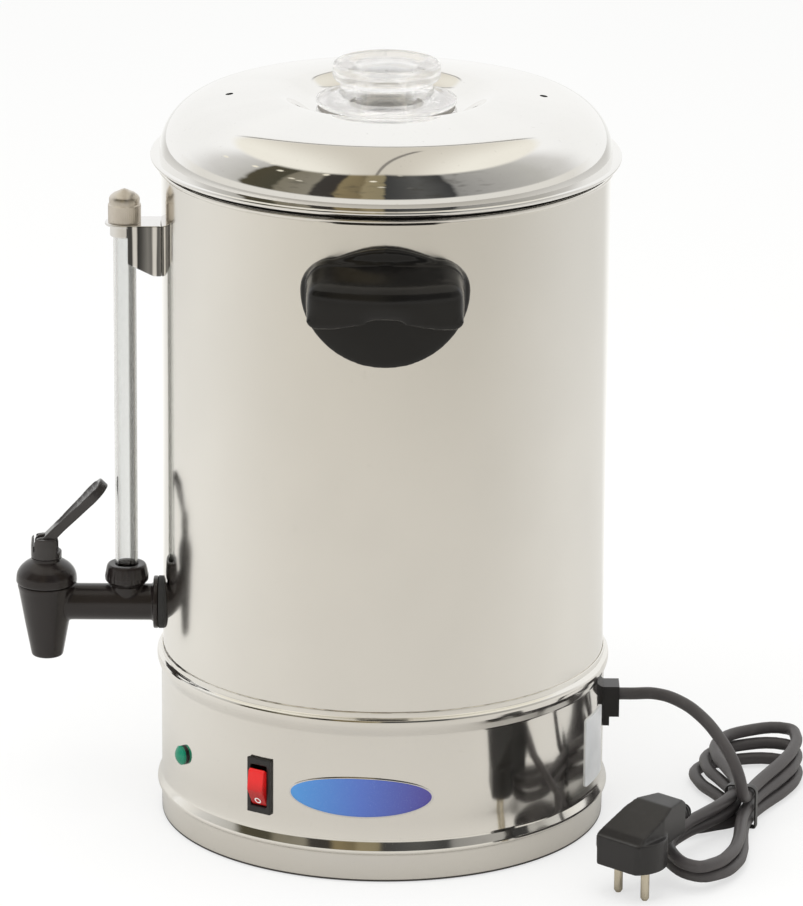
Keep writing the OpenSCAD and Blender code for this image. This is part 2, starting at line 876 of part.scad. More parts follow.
module pump_foot() {
    foot_r = pump_foot_d / 2;
    neck_r = stem_r + seam;
    color("lightgray")
        difference() {
            rotate_extrude()
                polygon([
                    [foot_r - 1, pump_foot_z], [foot_r, pump_foot_z], [foot_r, pump_foot_z + 3],
                    [neck_r + 1.5, pump_foot_top - 6], [neck_r + 1.5, pump_foot_top],
                    [neck_r, pump_foot_top], [neck_r, pump_foot_top - 7],
                    [foot_r - 1, pump_foot_z + 2]
                ]);
            for (i = [0 : 5])
                radial(i * 60, pump_foot_z)
                    cylinder(r = 1.5, h = foot_r + cut);
        }
}

module sieve(rows, h) {
    for (r = rows)
        let (n = floor(r * 0.55))
        for (i = [0 : n - 1])
            rotate([0, 0, i * 360 / n])
                translate([r, 0, -cut])
                    cylinder(d = sieve_d, h = h + 2 * cut, $fn = 24);
}

module coffee_basket() {
    sleeve_h = 30;
    sleeve_ri = stem_r + seam;
    color("gainsboro")
        difference() {
            union() {
                translate([0, 0, basket_z])
                    cylinder(r = basket_r, h = basket_t);
                translate([0, 0, basket_z])
                    washer(basket_r, basket_r - basket_t, basket_h);
                translate([0, 0, basket_z])
                    cylinder(r = stem_sleeve_r, h = sleeve_h);
            }
            translate([0, 0, basket_z - cut])
                cylinder(r = sleeve_ri, h = sleeve_h + 2 * cut);
            translate([0, 0, basket_z])
                sieve([basket_r * 0.3, basket_r * 0.5, basket_r * 0.7], basket_t);
        }
}

module basket_cover() {
    rim_h = 6;
    cover_r = basket_r + loose + basket_t;
    color("gainsboro")
        difference() {
            union() {
                translate([0, 0, basket_top + loose])
                    cylinder(r = cover_r, h = basket_t);
                translate([0, 0, basket_top + loose - rim_h])
                    washer(cover_r, basket_r + loose, rim_h + basket_t);
            }
            translate([0, 0, basket_top - cut])
                cylinder(r = stem_r + loose, h = 4 * cut);
            translate([0, 0, basket_top + loose])
                sieve([basket_r * 0.35, basket_r * 0.65], basket_t);
        }
}

// Heaters and controls under the tank floor
module ring_heater(r, d, a) {
    z = floor_under - seam - d / 2;
    leg_h = 28;
    translate([0, 0, z])
        rotate_extrude()
            translate([r, 0])
                circle(d = d);
    for (side = [-leg_spread, leg_spread])
        rotate([0, 0, a + side])
            translate([r, 0, z - leg_h])
                cylinder(d = d * 0.8, h = leg_h);
}

module boil_heater() {
    color("dimgray")
        ring_heater(boil_r, boil_d, boil_a);
}

module warm_heater() {
    color("dimgray")
        ring_heater(warm_r, warm_d, warm_a);
}

module heater_clamp() {
    mid_z = well_under - seam;
    boil_z = floor_under - 2 * seam - boil_d;
    warm_z = floor_under - 2 * seam - warm_d;
    land = 4;
    flat_r = well_r + floor_t + 1;
    color("lightgray")
        difference() {
            rotate_extrude()
                polygon([
                    [stud_d / 2 + loose, mid_z], [flat_r, mid_z],
                    [boil_r - land, boil_z], [boil_r + land, boil_z],
                    [warm_r - land, warm_z], [warm_r + land, warm_z],
                    [warm_r + land, warm_z - clamp_t], [warm_r - land, warm_z - clamp_t],
                    [boil_r + land, boil_z - clamp_t], [boil_r - land, boil_z - clamp_t],
                    [flat_r, mid_z - clamp_t], [stud_d / 2 + loose, mid_z - clamp_t]
                ]);
            for (side = [-leg_spread, leg_spread]) {
                rotate([0, 0, boil_a + side])
                    translate([boil_r, 0, well_under - 40])
                        cylinder(d = boil_d * 0.8 + 2 * loose, h = 80);
                rotate([0, 0, warm_a + side])
                    translate([warm_r, 0, well_under - 40])
                        cylinder(d = warm_d * 0.8 + 2 * loose, h = 80);
            }
        }
}

module heater_nut() {
    nut_h = 5;
    color("gray")
        translate([0, 0, well_under - 2 * seam - clamp_t - nut_h])
            difference() {
                cylinder(r = stud_d * 0.95, h = nut_h, $fn = 6);
                translate([0, 0, -cut])
                    cylinder(d = stud_d + 2 * seam, h = nut_h + 2 * cut);
            }
}

// Disc thermostat with two tabs, under the floor
module disc_sensor(a, r, d, h) {
    z = floor_under - seam - h;
    rotate([0, 0, a])
        translate([r, 0, z]) {
            cylinder(d = d, h = h);
            for (side = [-1, 1])
                translate([side * d / 4 - 3, -0.4, -7])
                    cube([6, 0.8, 7.5]);
        }
}

module thermostat() {
    color("saddlebrown")
        disc_sensor(thermostat_a, sensor_r, thermostat_d, thermostat_h);
}

module thermal_cutout() {
    color("saddlebrown")
        disc_sensor(cutout_a, sensor_r, cutout_d, cutout_h);
}

module terminal_block() {
    block = [34, 20, 16];
    color("ivory")
        difference() {
            translate([-block[0] / 2, body_r - 62, cover_top + seam])
                cube(block);
            for (i = [-1 : 1])
                translate([i * 10, body_r - 62 - cut, cover_top + seam + 9])
                    rotate([-90, 0, 0])
                        cylinder(r = 2.4, h = block[1] + 2 * cut);
            for (i = [-1 : 1], y = [5, 15])
                translate([i * 10, body_r - 62 + y, cover_top + seam + 9])
                    cylinder(r = 2, h = block[2]);
        }
}

// Switch, drawn along +X and turned to its place
module switch_housing() {
    cavity_w = rocker_w + 2 * rocker_play;
    cavity_h = rocker_h + 4 * rocker_play;
    color("#222222")
        at_angle(switch_a)
            difference() {
                union() {
                    translate([skirt_ro + seam, -frame_w / 2, controls_z - frame_h / 2])
                        cube([frame_t, frame_w, frame_h]);
                    translate([skirt_ro - switch_depth, -switch_w / 2, controls_z - switch_h / 2])
                        cube([switch_depth + frame_t / 2, switch_w, switch_h]);
                    for (i = [-1 : 1])
                        translate([skirt_ro - switch_depth - 8, -2.4, controls_z + i * 8 - 0.4])
                            cube([9, 4.8, 0.8]);
                }
                translate([rocker_pivot - 7, -cavity_w / 2, controls_z - cavity_h / 2])
                    cube([40, cavity_w, cavity_h]);
                translate([rocker_pivot, -cavity_w / 2 - 0.9, controls_z])
                    rotate([-90, 0, 0])
                        cylinder(r = trunnion_r + running, h = cavity_w + 1.8);
            }
}

module switch_rocker() {
    half_h = rocker_h / 2;
    color("red")
        at_angle(switch_a)
            translate([rocker_pivot, 0, controls_z])
                rotate([0, rocker_turn / 2, 0]) {
                    rotate([90, 0, 0])
                        translate([0, 0, -rocker_w / 2])
                            linear_extrude(rocker_w)
                                polygon([
                                    [-3, -4], [3.4, -half_h + 0.2], [5, -half_h + 0.9],
                                    [rocker_ridge, 0], [5, half_h - 0.9], [3.4, half_h - 0.2], [-3, 4]
                                ]);
                    translate([0, -rocker_w / 2 - 0.8, 0])
                        rotate([-90, 0, 0])
                            cylinder(r = trunnion_r, h = rocker_w + 1.6);
                }
}

module lamp_holder() {
    lens_r = lens_d / 2;
    stub_r = barrel_d / 2 - 1;
    stub_h = 0.6;
    flange_h = 1;
    color("#222222")
        radial(lamp_a, controls_z)
            difference() {
                union() {
                    translate([0, 0, skirt_ro + seam])
                        cylinder(r = lens_r, h = flange_h);
                    translate([0, 0, skirt_ro - 16])
                        cylinder(r = barrel_d / 2, h = 17);
                }
                translate([0, 0, skirt_ro - stub_h])
                    cylinder(r = stub_r + seam, h = 4);
            }
}

module lamp_lens() {
    lens_r = lens_d / 2;
    stub_r = barrel_d / 2 - 1;
    foot = skirt_ro + 1 + 2 * seam;
    band_h = 1.2;
    dome_h = 2.6;
    dome_r = (pow(lens_r, 2) + pow(dome_h, 2)) / (2 * dome_h);
    color("green")
        radial(lamp_a, controls_z) {
            translate([0, 0, foot - 1.4])
                cylinder(r = stub_r, h = 2);
            translate([0, 0, foot])
                cylinder(r = lens_r, h = band_h);
            intersection() {
                translate([0, 0, foot + band_h + dome_h - dome_r])
                    sphere(r = dome_r);
                translate([0, 0, foot + band_h / 2])
                    cylinder(r = lens_r, h = 6);
            }
        }
}

// Thin plate that lies on the skirt
module skirt_plate(a, outline) {
    at_angle(a)
        intersection() {
            along_x(body_r / 2, body_r * 2)
                translate([0, controls_z])
                    polygon(outline);
            washer(skirt_ro + seam + badge_t, skirt_ro + seam, skirt_top);
        }
}

module badge() {
    color("royalblue")
        skirt_plate(badge_a, arc(0, 0, badge_w / 2, badge_h / 2, 0, 345, 23));
}

module rating_plate() {
    corner = 1.5;
    x = rating_w / 2 - corner;
    y = rating_h / 2 - corner;
    color("whitesmoke")
        skirt_plate(rating_a, concat(
            arc(x, y, corner, corner, 0, 90, 6),
            arc(-x, y, corner, corner, 90, 180, 6),
            arc(-x, -y, corner, corner, 180, 270, 6),
            arc(x, -y, corner, corner, 270, 360, 6)
        ));
}

// Tap
module on_tap_axis(z) {
    translate([0, tap_y, z])
        children();
}

module tap_body() {
    outlet_r = outlet_d / 2;
    shank_l = tap_out - gasket_t - flange_t;
    color("#332f2e")
        difference() {
            union() {
                on_tap_axis(0)
                    rotate_extrude()
                        polygon([
                            [0, spout_z], [outlet_r - 0.6, spout_z], [outlet_r, spout_z + 1],
                            [tap_r * 0.76, tap_z - 12], [tap_r - 0.6, tap_top - 4],
                            [tap_r, tap_top - 2], [tap_r, tap_top], [0, tap_top]
                        ]);
                translate([0, tap_y, tap_z])
                    rotate([-90, 0, 0])
                        cylinder(r = shank_r, h = shank_l + cut);
                translate([0, -flange_face_y - flange_t, tap_z])
                    rotate([-90, 0, 0])
                        cylinder(d = flange_d, h = flange_t);
                translate([0, -flange_face_y - cut, tap_z])
                    rotate([-90, 0, 0])
                        cylinder(d = thread_d, h = flange_face_y - body_r + thread_in + cut);
                translate([0, gauge_y, tap_z])
                    cylinder(r = boss_r, h = boss_top - tap_z);
            }
            on_tap_axis(spout_z - cut)
                cylinder(d = spout_bore_d, h = seat_z - seat_lip - spout_z + cut);
            on_tap_axis(spout_z)
                cylinder(d = seat_d, h = tap_top - spout_z);
            on_tap_axis(seat_z)
                cylinder(r = cup_d / 2 + cup_room, h = tap_top - seat_z);
            on_tap_axis(tap_z - chamber_deep)
                cylinder(r = chamber_r, h = tap_top - tap_z + chamber_deep + cut);
            translate([0, tap_y, tap_z])
                rotate([-90, 0, 0])
                    cylinder(d = shank_bore_d, h = tap_out + thread_in + 2 * cut);
            translate([0, gauge_y, tap_z])
                cylinder(d = tube_bore_d - 2, h = boss_top);
        }
}

module tap_bonnet() {
    base_r = tap_r + 0.6;
    dome = arc(0, tap_top + seam + 3, base_r, bonnet_h - seam - 3, 0, 58, 8);
    color("#262322")
        on_tap_axis(0)
            difference() {
                rotate_extrude()
                    polygon(concat(
                        [[0, tap_top - bonnet_plug_h], [chamber_r - seam, tap_top - bonnet_plug_h]],
                        [[chamber_r - seam, tap_top + seam], [base_r - 0.4, tap_top + seam]],
                        dome,
                        [[collar_r, bonnet_top], [0, bonnet_top]]
                    ));
                cylinder(r = valve_stem_r + running, h = bonnet_top + cut);
                cylinder(r = spring_pocket_r, h = spring_pocket_top);
            }
}

module tap_collar() {
    color("#4a4442")
        on_tap_axis(bonnet_top + seam)
            difference() {
                rotate_extrude()
                    polygon([
                        [0, 0], [collar_r, 0], [collar_r, 0.6 * collar_h],
                        [collar_r - 0.5, collar_h - seam], [0, collar_h - seam]
                    ]);
                cylinder(r = valve_stem_r + loose, h = 3 * collar_h, center = true);
                translate([-slot_w / 2, -slot_front, collar_floor - bonnet_top - seam])
                    cube([slot_w, slot_front + 2 * collar_r, collar_h]);
            }
}

module valve_stem() {
    color("lightgray")
        difference() {
            union() {
                on_tap_axis(cup_z + 1)
                    cylinder(r = valve_stem_r, h = collar_floor - valve_lift - loose - cup_z - 1);
                intersection() {
                    on_tap_axis(tongue_z)
                        cylinder(r = valve_stem_r, h = pin_z + 2.4 - tongue_z);
                    translate([-tongue_t / 2, tap_y - valve_stem_r, tongue_z])
                        cube([tongue_t, 2 * valve_stem_r, 2 * collar_h]);
                }
            }
            translate([0, tap_y, pin_z])
                rotate([0, 90, 0])
                    cylinder(d = lever_pin_d + 2 * seam, h = lever_w, center = true);
        }
}

module lever_pin() {
    color("silver")
        translate([0, tap_y, pin_z])
            rotate([0, 90, 0])
                cylinder(d = lever_pin_d, h = lever_w - 0.4, center = true);
}

module seat_cup() {
    color("lightgray")
        on_tap_axis(0)
            difference() {
                rotate_extrude()
                    polygon([
                        [0, cup_z], [cup_d / 2 - 1, cup_z], [cup_d / 2, cup_z + 1],
                        [cup_d / 2, cup_top], [0, cup_top]
                    ]);
                translate([0, 0, cup_z + 1 - seam])
                    cylinder(r = valve_stem_r + seam, h = cup_h);
            }
}

// The spring's ends are squared by a dead turn at each end
spring_r = valve_stem_r + (spring_pocket_r - valve_stem_r) / 2;
spring_low = cup_top + spring_wire_d / 2 + 0.1;
spring_high = spring_pocket_top - spring_wire_d / 2 - 0.1;
function spring_path() = [
    for (i = [0 : 8 * spring_n])
        let (t = i / (8 * spring_n), a = 45 * i)
        [spring_r * cos(a), tap_y + spring_r * sin(a), spring_low + (spring_high - spring_low) * t]
];

module tap_spring() {
    color("silver")
        tube(spring_path(), spring_wire_d / 2, 6);
}

module tap_lever() {
    heel_y = heel_e * cos(heel_a);
    heel_z = heel_e * sin(heel_a);
    neck = 14;
    color("#3a3634")
        translate([0, tap_y, pin_z])
            difference() {
                union() {
                    translate([0, heel_y, heel_z])
                        rotate([0, 90, 0])
                            cylinder(r = heel_r, h = lever_w, center = true);
                    rotate([lever_a, 0, 0])
                        translate([0, 0, -lever_t / 2 + lever_t * 0.35])
                            linear_extrude(lever_t)
                                polygon(concat(
                                    [[lever_w / 2, -1], [lever_w / 2, neck]],
                                    arc(0, lever_l - paddle_w / 2, paddle_w / 2, paddle_w / 2, -20, 200, 14),
                                    [[-lever_w / 2, neck], [-lever_w / 2, -1]]
                                ));
                }
                rotate([0, 90, 0])
                    cylinder(d = lever_pin_d + 2 * running, h = 2 * lever_w, center = true);
                translate([-tongue_t / 2 - loose, -collar_d, -collar_h])
                    cube([tongue_t + 2 * loose, 2 * collar_d, collar_h + 4]);
                translate([-tongue_t / 2 - loose, -valve_stem_r - 2, -1])
                    cube([tongue_t + 2 * loose, 2 * valve_stem_r + 4, 7]);
            }
}

// Gasket on the shank, shaped to one face of the vessel's wall
module outer_gasket() {
    color("#1c1c1c")
        difference() {
            translate([0, -flange_face_y + seam, tap_z])
                rotate([-90, 0, 0])
                    washer(flange_d / 2, thread_d / 2 + seam, gasket_t + 2);
            cylinder(r = body_r + seam, h = rim_top, $fn = 480);
        }
}

module inner_gasket() {
    color("#1c1c1c")
        intersection() {
            translate([0, -body_r, tap_z])
                rotate([-90, 0, 0])
                    washer(flange_d / 2, thread_d / 2 + seam, body_r - inner_gasket_y);
            cylinder(r = body_ri - seam, h = rim_top, $fn = 480);
        }
}

module shank_nut() {
    nut_t = 7;
    color("#332f2e")
        translate([0, -inner_gasket_y + seam, tap_z])
            rotate([-90, 0, 0])
                difference() {
                    cylinder(d = flange_d + 2, h = nut_t, $fn = 6);
                    translate([0, 0, -cut])
                        cylinder(d = thread_d + 2 * seam, h = nut_t + 2 * cut);
                }
}

// Sight gauge
module on_gauge_axis(z) {
    translate([0, gauge_y, z])
        children();
}

module gauge_nut() {
    nut_r = gauge_nut_d / 2;
    color("#2a2726")
        on_gauge_axis(0)
            difference() {
                rotate_extrude()
                    polygon([
                        [0, boss_top + seam], [nut_r - 1.5, boss_top + seam], [nut_r, boss_top + 3],
                        [nut_r - 1, nut_top - 2], [nut_r - 2, nut_top], [0, nut_top]
                    ]);
                translate([0, 0, boss_top])
                    cylinder(r = tube_r + 2.4, h = seal_h + 2 * seam);
                translate([0, 0, boss_top])
                    cylinder(r = tube_r + seam, h = gauge_nut_h + cut);
            }
}

module gauge_seal() {
    color("#b8b4ae")
        on_gauge_axis(boss_top + seam)
            washer(tube_r + 2.4 - seam, tube_r + seam, seal_h);
}

module sight_tube() {
    color("white", 0.4)
        on_gauge_axis(boss_top + seam)
            washer(tube_r, tube_bore_d / 2, tube_top - boss_top - seam);
}

module gauge_cap() {
    cap_r = cap_d / 2;
    color("#b9b3a8")
        on_gauge_axis(0)
            difference() {
                rotate_extrude()
                    polygon([
                        [0, bracket_top + seam], [cap_r, bracket_top + seam],
                        [cap_r, bracket_top + 0.55 * cap_h], [cap_r - 1.6, bracket_top + 0.6 * cap_h],
                        [cap_r - 1.6, bracket_top + 0.7 * cap_h], [cap_r - 0.8, bracket_top + 0.74 * cap_h],
                        [cap_r - 1.2, bracket_top + 0.84 * cap_h], [cap_r - 3.6, cap_top - 1.2],
                        [2.5, cap_top - 0.6], [2, cap_top], [0, cap_top]
                    ]);
                translate([0, 0, bracket_top])
                    cylinder(r = tube_r + seam, h = tube_top - bracket_top + seam);
            }
}

module gauge_bracket() {
    half_w = bracket_w / 2;
    leg_foot = 4;
    leg_reach = gauge_out * 0.9;
    leg_rise = 7;
    color("gainsboro")
        difference() {
            union() {
                on_gauge_axis(bracket_top - bracket_t)
                    cylinder(r = half_w, h = bracket_t);
                translate([-half_w, gauge_y, bracket_top - bracket_t])
                    cube([bracket_w, gauge_out + 4, bracket_t]);
                on_gauge_axis(bracket_top - 8)
                    cylinder(r = tube_r + 1.8, h = 8);
                for (side = [-1, 1])
                    translate([side * (half_w - bracket_t / 2), 0, 0])
                        rotate([90, 0, -90])
                            translate([0, 0, -bracket_t / 2])
                                linear_extrude(bracket_t)
                                    polygon([
                                        [body_r - 2, bracket_top - bracket_h],
                                        [body_r + leg_foot, bracket_top - bracket_h],
                                        [body_r + leg_reach, bracket_top - bracket_h + leg_rise],
                                        [body_r + leg_reach, bracket_top - bracket_t / 2],
                                        [body_r - 2, bracket_top - bracket_t / 2]
                                    ]);
                intersection() {
                    translate([-half_w, -body_r - 4, bracket_top - bracket_h])
                        cube([bracket_w, 6, bracket_h - bracket_t / 2]);
                    cylinder(r = body_r + seam + bracket_t, h = rim_top);
                }
            }
            cylinder(r = body_r + seam, h = rim_top);
            on_gauge_axis(bracket_top - 9)
                cylinder(r = tube_r + seam, h = 10);
            for (z = bracket_screw_zs)
                radial(-90, z)
                    cylinder(r = bracket_screw_r + seam, h = body_r + 6);
        }
}

module bracket_screws() {
    color("gray")
        for (z = bracket_screw_zs)
            radial(-90, z) {
                translate([0, 0, body_ri - 4])
                    cylinder(r = bracket_screw_r, h = wall_t + bracket_t + 5);
                translate([0, 0, body_r + bracket_t + 2 * seam])
                    cylinder(r = bracket_screw_r * 1.8, h = 1.6);
                translate([0, 0, body_ri - 4])
                    cylinder(r = bracket_screw_r * 1.9, h = 3.8, $fn = 6);
            }
}

// Cord gland in the skirt
module cord_gland() {
    plate = 3.5;
    step_h = 6;
    color("#262423")
        difference() {
            union() {
                translate([-gland_w / 2, skirt_ro - 2, cord_z + gland_over - gland_h])
                    cube([gland_w, gland_out + 2, gland_h]);
                translate([-gland_w / 2 + 2, skirt_ro - 2, cord_z + gland_over - gland_h - step_h])
                    cube([gland_w - 4, plate + 2, step_h + 2]);
                radial(90, cord_z)
                    translate([0, 0, skirt_ro - 16])
                        cylinder(r = gland_thread_r, h = 17);
            }
            difference() {
                cylinder(r = skirt_ro + seam, h = skirt_top);
                radial(90, cord_z)
                    cylinder(r = gland_thread_r, h = body_d);
            }
        }
}

module gland_nut() {
    nut_t = 5;
    nut_out = sqrt(pow(skirt_ri, 2) - pow(gland_thread_r + 4, 2)) - seam;
    color("#262423")
        radial(90, cord_z)
            translate([0, 0, nut_out - nut_t])
                difference() {
                    cylinder(r = gland_thread_r + 4, h = nut_t, $fn = 6);
                    translate([0, 0, -cut])
                        cylinder(r = gland_thread_r + seam, h = nut_t + 2 * cut);
                }
}

// Hank: one tube that climbs down a layer with each turn, drawn in at the waist
// and swelling to a width of its own in each quarter
function hank_swell(a) =
    let (grown = hank_first + hank_grow * a / 360)
    grown * (
        cos(a) > 0
            ? (sin(a) < 0 ? hank_far_left : hank_near_left)
            : (sin(a) > 0 ? hank_near_right : hank_far_right)
    );

function hank_drop(a, turn) = (1 - cos(180 * min(1, max(0, 2 * (a / 360 - turn))))) / 2;

function hank_point(a) =
    let (c = cos(a), wide = hank_swell(a))
    [
        hank_half_l * (1 - hank_shrink * a / 360) * sin(a),
        -c * (wide - (wide - hank_lane) * pow(c, hank_tight)),
        hank_low + hank_rise * (2 - hank_drop(a, 1) - hank_drop(a, 2))
    ];

function hank_place(p) = hank_at + [
    p[0] * cos(hank_a) - p[1] * sin(hank_a),
    p[0] * sin(hank_a) + p[1] * cos(hank_a),
    p[2]
];

function hank_path() =
    let (
        last = len(hank_angles) - 1,
        runs = [
            for (q = [hank_quarters[0] : hank_quarters[1] - 1], i = [0 : last])
                90 * q + (q % 2 == 0 ? hank_angles[i] : i == 0 ? 0 : 90 - hank_angles[last + 1 - i])
        ],
        loops = [for (a = concat(runs, [90 * hank_quarters[1]])) hank_place(hank_point(a))],
        count = len(loops),
        first_dir = unit(loops[1] - loops[0]),
        last_dir = unit(loops[count - 1] - loops[count - 2])
    )
    concat([loops[0] - stub_l * first_dir], loops, [loops[count - 1] + stub_l * last_dir]);

// Least distance between the tube's skin and itself, past what lies next along it
function hank_gap(path) = min([
    for (i = [0 : len(path) - 1], j = [i + 3 : 1 : len(path) - 1])
        norm(path[i] - path[j])
]) - cord_d;

hank = hank_path();
echo(hank_least_gap = hank_gap(hank));

function lead_path() =
    let (dir = unit(hank[1] - hank[0]))
    concat(
        [[0, gland_face, cord_z], [0, gland_face + cord_d, cord_z]],
        lead_route,
        [hank[0] - stub_l * dir, hank[0] - seam * dir]
    );

function tail_path() =
    let (last = len(hank) - 1, dir = unit(hank[last] - hank[last - 1]))
    concat(
        [hank[last] + seam * dir, hank[last] + stub_l * dir],
        [for (p = tail_route) hank_place(p)],
        [plug_at + (plug_boss_l + cord_d) * plug_back() + [0, 0, plug_boss_z]],
        [plug_at + plug_boss_l * plug_back() + [0, 0, plug_boss_z]]
    );

function plug_back() = [-cos(plug_a), -sin(plug_a), 0];

module cord_lead() {
    color("#3c3837")
        tube(lead_path(), cord_r, 10);
}

module cord_hank() {
    color("#3c3837")
        tube(hank, cord_r, 6);
}

module cord_tail() {
    color("#3c3837")
        tube(tail_path(), cord_r, 10);
}

module cord_tie() {
    slack = 0.8;
    high = hank_lane + cord_r + slack;
    low = -high;
    top = hank_low + 2 * hank_rise + cord_r + slack;
    floor_z = hank_low - cord_r - 0.1;
    corner = 3;
    color("#262423")
        translate(hank_at)
            rotate([0, 0, hank_a])
                along_x(-tie_w / 2, tie_w / 2)
                    difference() {
                        tie_outline(low - tie_t, high + tie_t, floor_z - tie_t, top + tie_t, corner + tie_t);
                        tie_outline(low, high, floor_z, top, corner);
                    }
}

module tie_outline(x0, x1, y0, y1, r) {
    polygon(concat(
        arc(x1 - r, y1 - r, r, r, 0, 90, 5),
        arc(x0 + r, y1 - r, r, r, 90, 180, 5),
        arc(x0 + 1, y0 + 1, 1, 1, 180, 270, 2),
        arc(x1 - 1, y0 + 1, 1, 1, 270, 360, 2)
    ));
}

// Plug, standing on its pins
module on_plug(z) {
    translate(plug_at + [0, 0, z])
        rotate([0, 0, plug_a])
            children();
}

module plug_body() {
    half_w = plug_w / 2;
    flat = half_w - 5.5;
    block_h = 0.55 * plug_h;
    under = 0.33 * plug_h;
    end_w = 8;
    color("#262423")
        on_plug(pin_l)
            difference() {
                union() {
                    intersection() {
                        cylinder(r = half_w, h = block_h);
                        translate([-flat, -half_w, 0])
                            cube([2 * flat, plug_w, block_h]);
                    }
                    intersection() {
                        translate([0, half_w, 0])
                            rotate([90, 0, 0])
                                linear_extrude(plug_w)
                                    polygon([
                                        [flat - 1, under], [flat - 1, block_h - 1], [flat - 6, block_h + 3],
                                        [-flat - 4, plug_h], [4 - plug_boss_l, plug_h],
                                        [-plug_boss_l, plug_h - 3], [-plug_boss_l, under]
                                    ]);
                        linear_extrude(plug_h + 1)
                            polygon([
                                [flat, -half_w + 4], [flat, half_w - 4], [-flat + 4, half_w - 5],
                                [-plug_boss_l - 1, end_w], [-plug_boss_l - 1, -end_w],
                                [-flat + 4, -half_w + 5]
                            ]);
                    }
                }
                for (side = [-1, 1])
                    translate([0, side * pin_pitch / 2, -cut])
                        cylinder(r = pin_d / 2 + seam, h = pin_seat + cut);
            }
}

module plug_pins() {
    color("goldenrod")
        on_plug(0)
            for (side = [-1, 1])
                translate([0, side * pin_pitch / 2, 0])
                    rotate_extrude()
                        polygon([
                            [0, 0], [pin_d / 2 - 1, 0], [pin_d / 2, 1.5],
                            [pin_d / 2, pin_l + pin_seat - seam], [0, pin_l + pin_seat - seam]
                        ]);
}

body_shell();
tank_floor();
base_skirt();
bottom_cover();
foot_ring();
cover_screws();
lid();
lid_knob();
knob_gasket();
knob_ring_nut();
handle_right();
handle_left();
handle_screws();
handle_washers();
pump_stem();
pump_foot();
coffee_basket();
basket_cover();
boil_heater();
warm_heater();
heater_clamp();
heater_nut();
thermostat();
thermal_cutout();
terminal_block();
switch_housing();
switch_rocker();
lamp_holder();
lamp_lens();
badge();
rating_plate();
tap_body();
tap_bonnet();
tap_collar();
valve_stem();
seat_cup();
tap_spring();
tap_lever();
lever_pin();
outer_gasket();
inner_gasket();
shank_nut();
gauge_nut();
gauge_seal();
sight_tube();
gauge_cap();
gauge_bracket();
bracket_screws();
cord_gland();
gland_nut();
cord_lead();
cord_hank();
cord_tail();
cord_tie();
plug_body();
plug_pins();
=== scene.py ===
"""Looks of a percolating coffee urn: polished vessel, black mouldings, tap, sight gauge and tied cord.

Sizes of the urn's pieces are in millimetres, and angles in radians where nothing else is said. Finishes
and the studio use metres.
"""

import json
import logging
import math
from dataclasses import dataclass
from enum import Enum
from typing import Any, Callable, Dict, List, Optional, Sequence, Tuple, Union

import bmesh
import bpy
from mathutils import Matrix, Vector


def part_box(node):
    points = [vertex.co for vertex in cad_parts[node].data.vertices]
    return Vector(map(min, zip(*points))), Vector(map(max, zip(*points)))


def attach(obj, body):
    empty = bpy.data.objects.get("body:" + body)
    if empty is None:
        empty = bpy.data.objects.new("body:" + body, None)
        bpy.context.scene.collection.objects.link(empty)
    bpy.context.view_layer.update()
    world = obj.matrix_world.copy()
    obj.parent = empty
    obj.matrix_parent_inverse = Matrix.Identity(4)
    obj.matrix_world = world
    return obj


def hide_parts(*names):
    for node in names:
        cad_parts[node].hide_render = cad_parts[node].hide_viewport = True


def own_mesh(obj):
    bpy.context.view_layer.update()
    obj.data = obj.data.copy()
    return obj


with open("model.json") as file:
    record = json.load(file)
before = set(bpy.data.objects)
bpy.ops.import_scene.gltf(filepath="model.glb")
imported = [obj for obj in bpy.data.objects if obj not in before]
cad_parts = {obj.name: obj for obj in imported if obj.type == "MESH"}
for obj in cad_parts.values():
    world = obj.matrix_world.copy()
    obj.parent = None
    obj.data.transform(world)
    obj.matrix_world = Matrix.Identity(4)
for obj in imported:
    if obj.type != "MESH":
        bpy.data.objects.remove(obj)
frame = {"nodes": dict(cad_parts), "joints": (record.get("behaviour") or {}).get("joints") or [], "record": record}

log = logging.getLogger("urn")
MM = 0.001
Colour = Tuple[float, float, float]
Point2 = Tuple[float, float]
Point3 = Tuple[float, float, float]
Line2 = List[Point2]
Amount = Union["Wire", float]
Piece = bpy.types.Object


class Body(Enum):
    """Bodies of the urn that carry pieces made here."""

    URN = "urn"
    LID = "lid"
    LEVER = "tap_handle"
    ROCKER = "rocker"


class Grain(Enum):
    """Ways in which a sheet was finished."""

    TURNED = "turned"
    DRAWN = "drawn"
    MIRROR = "mirror"


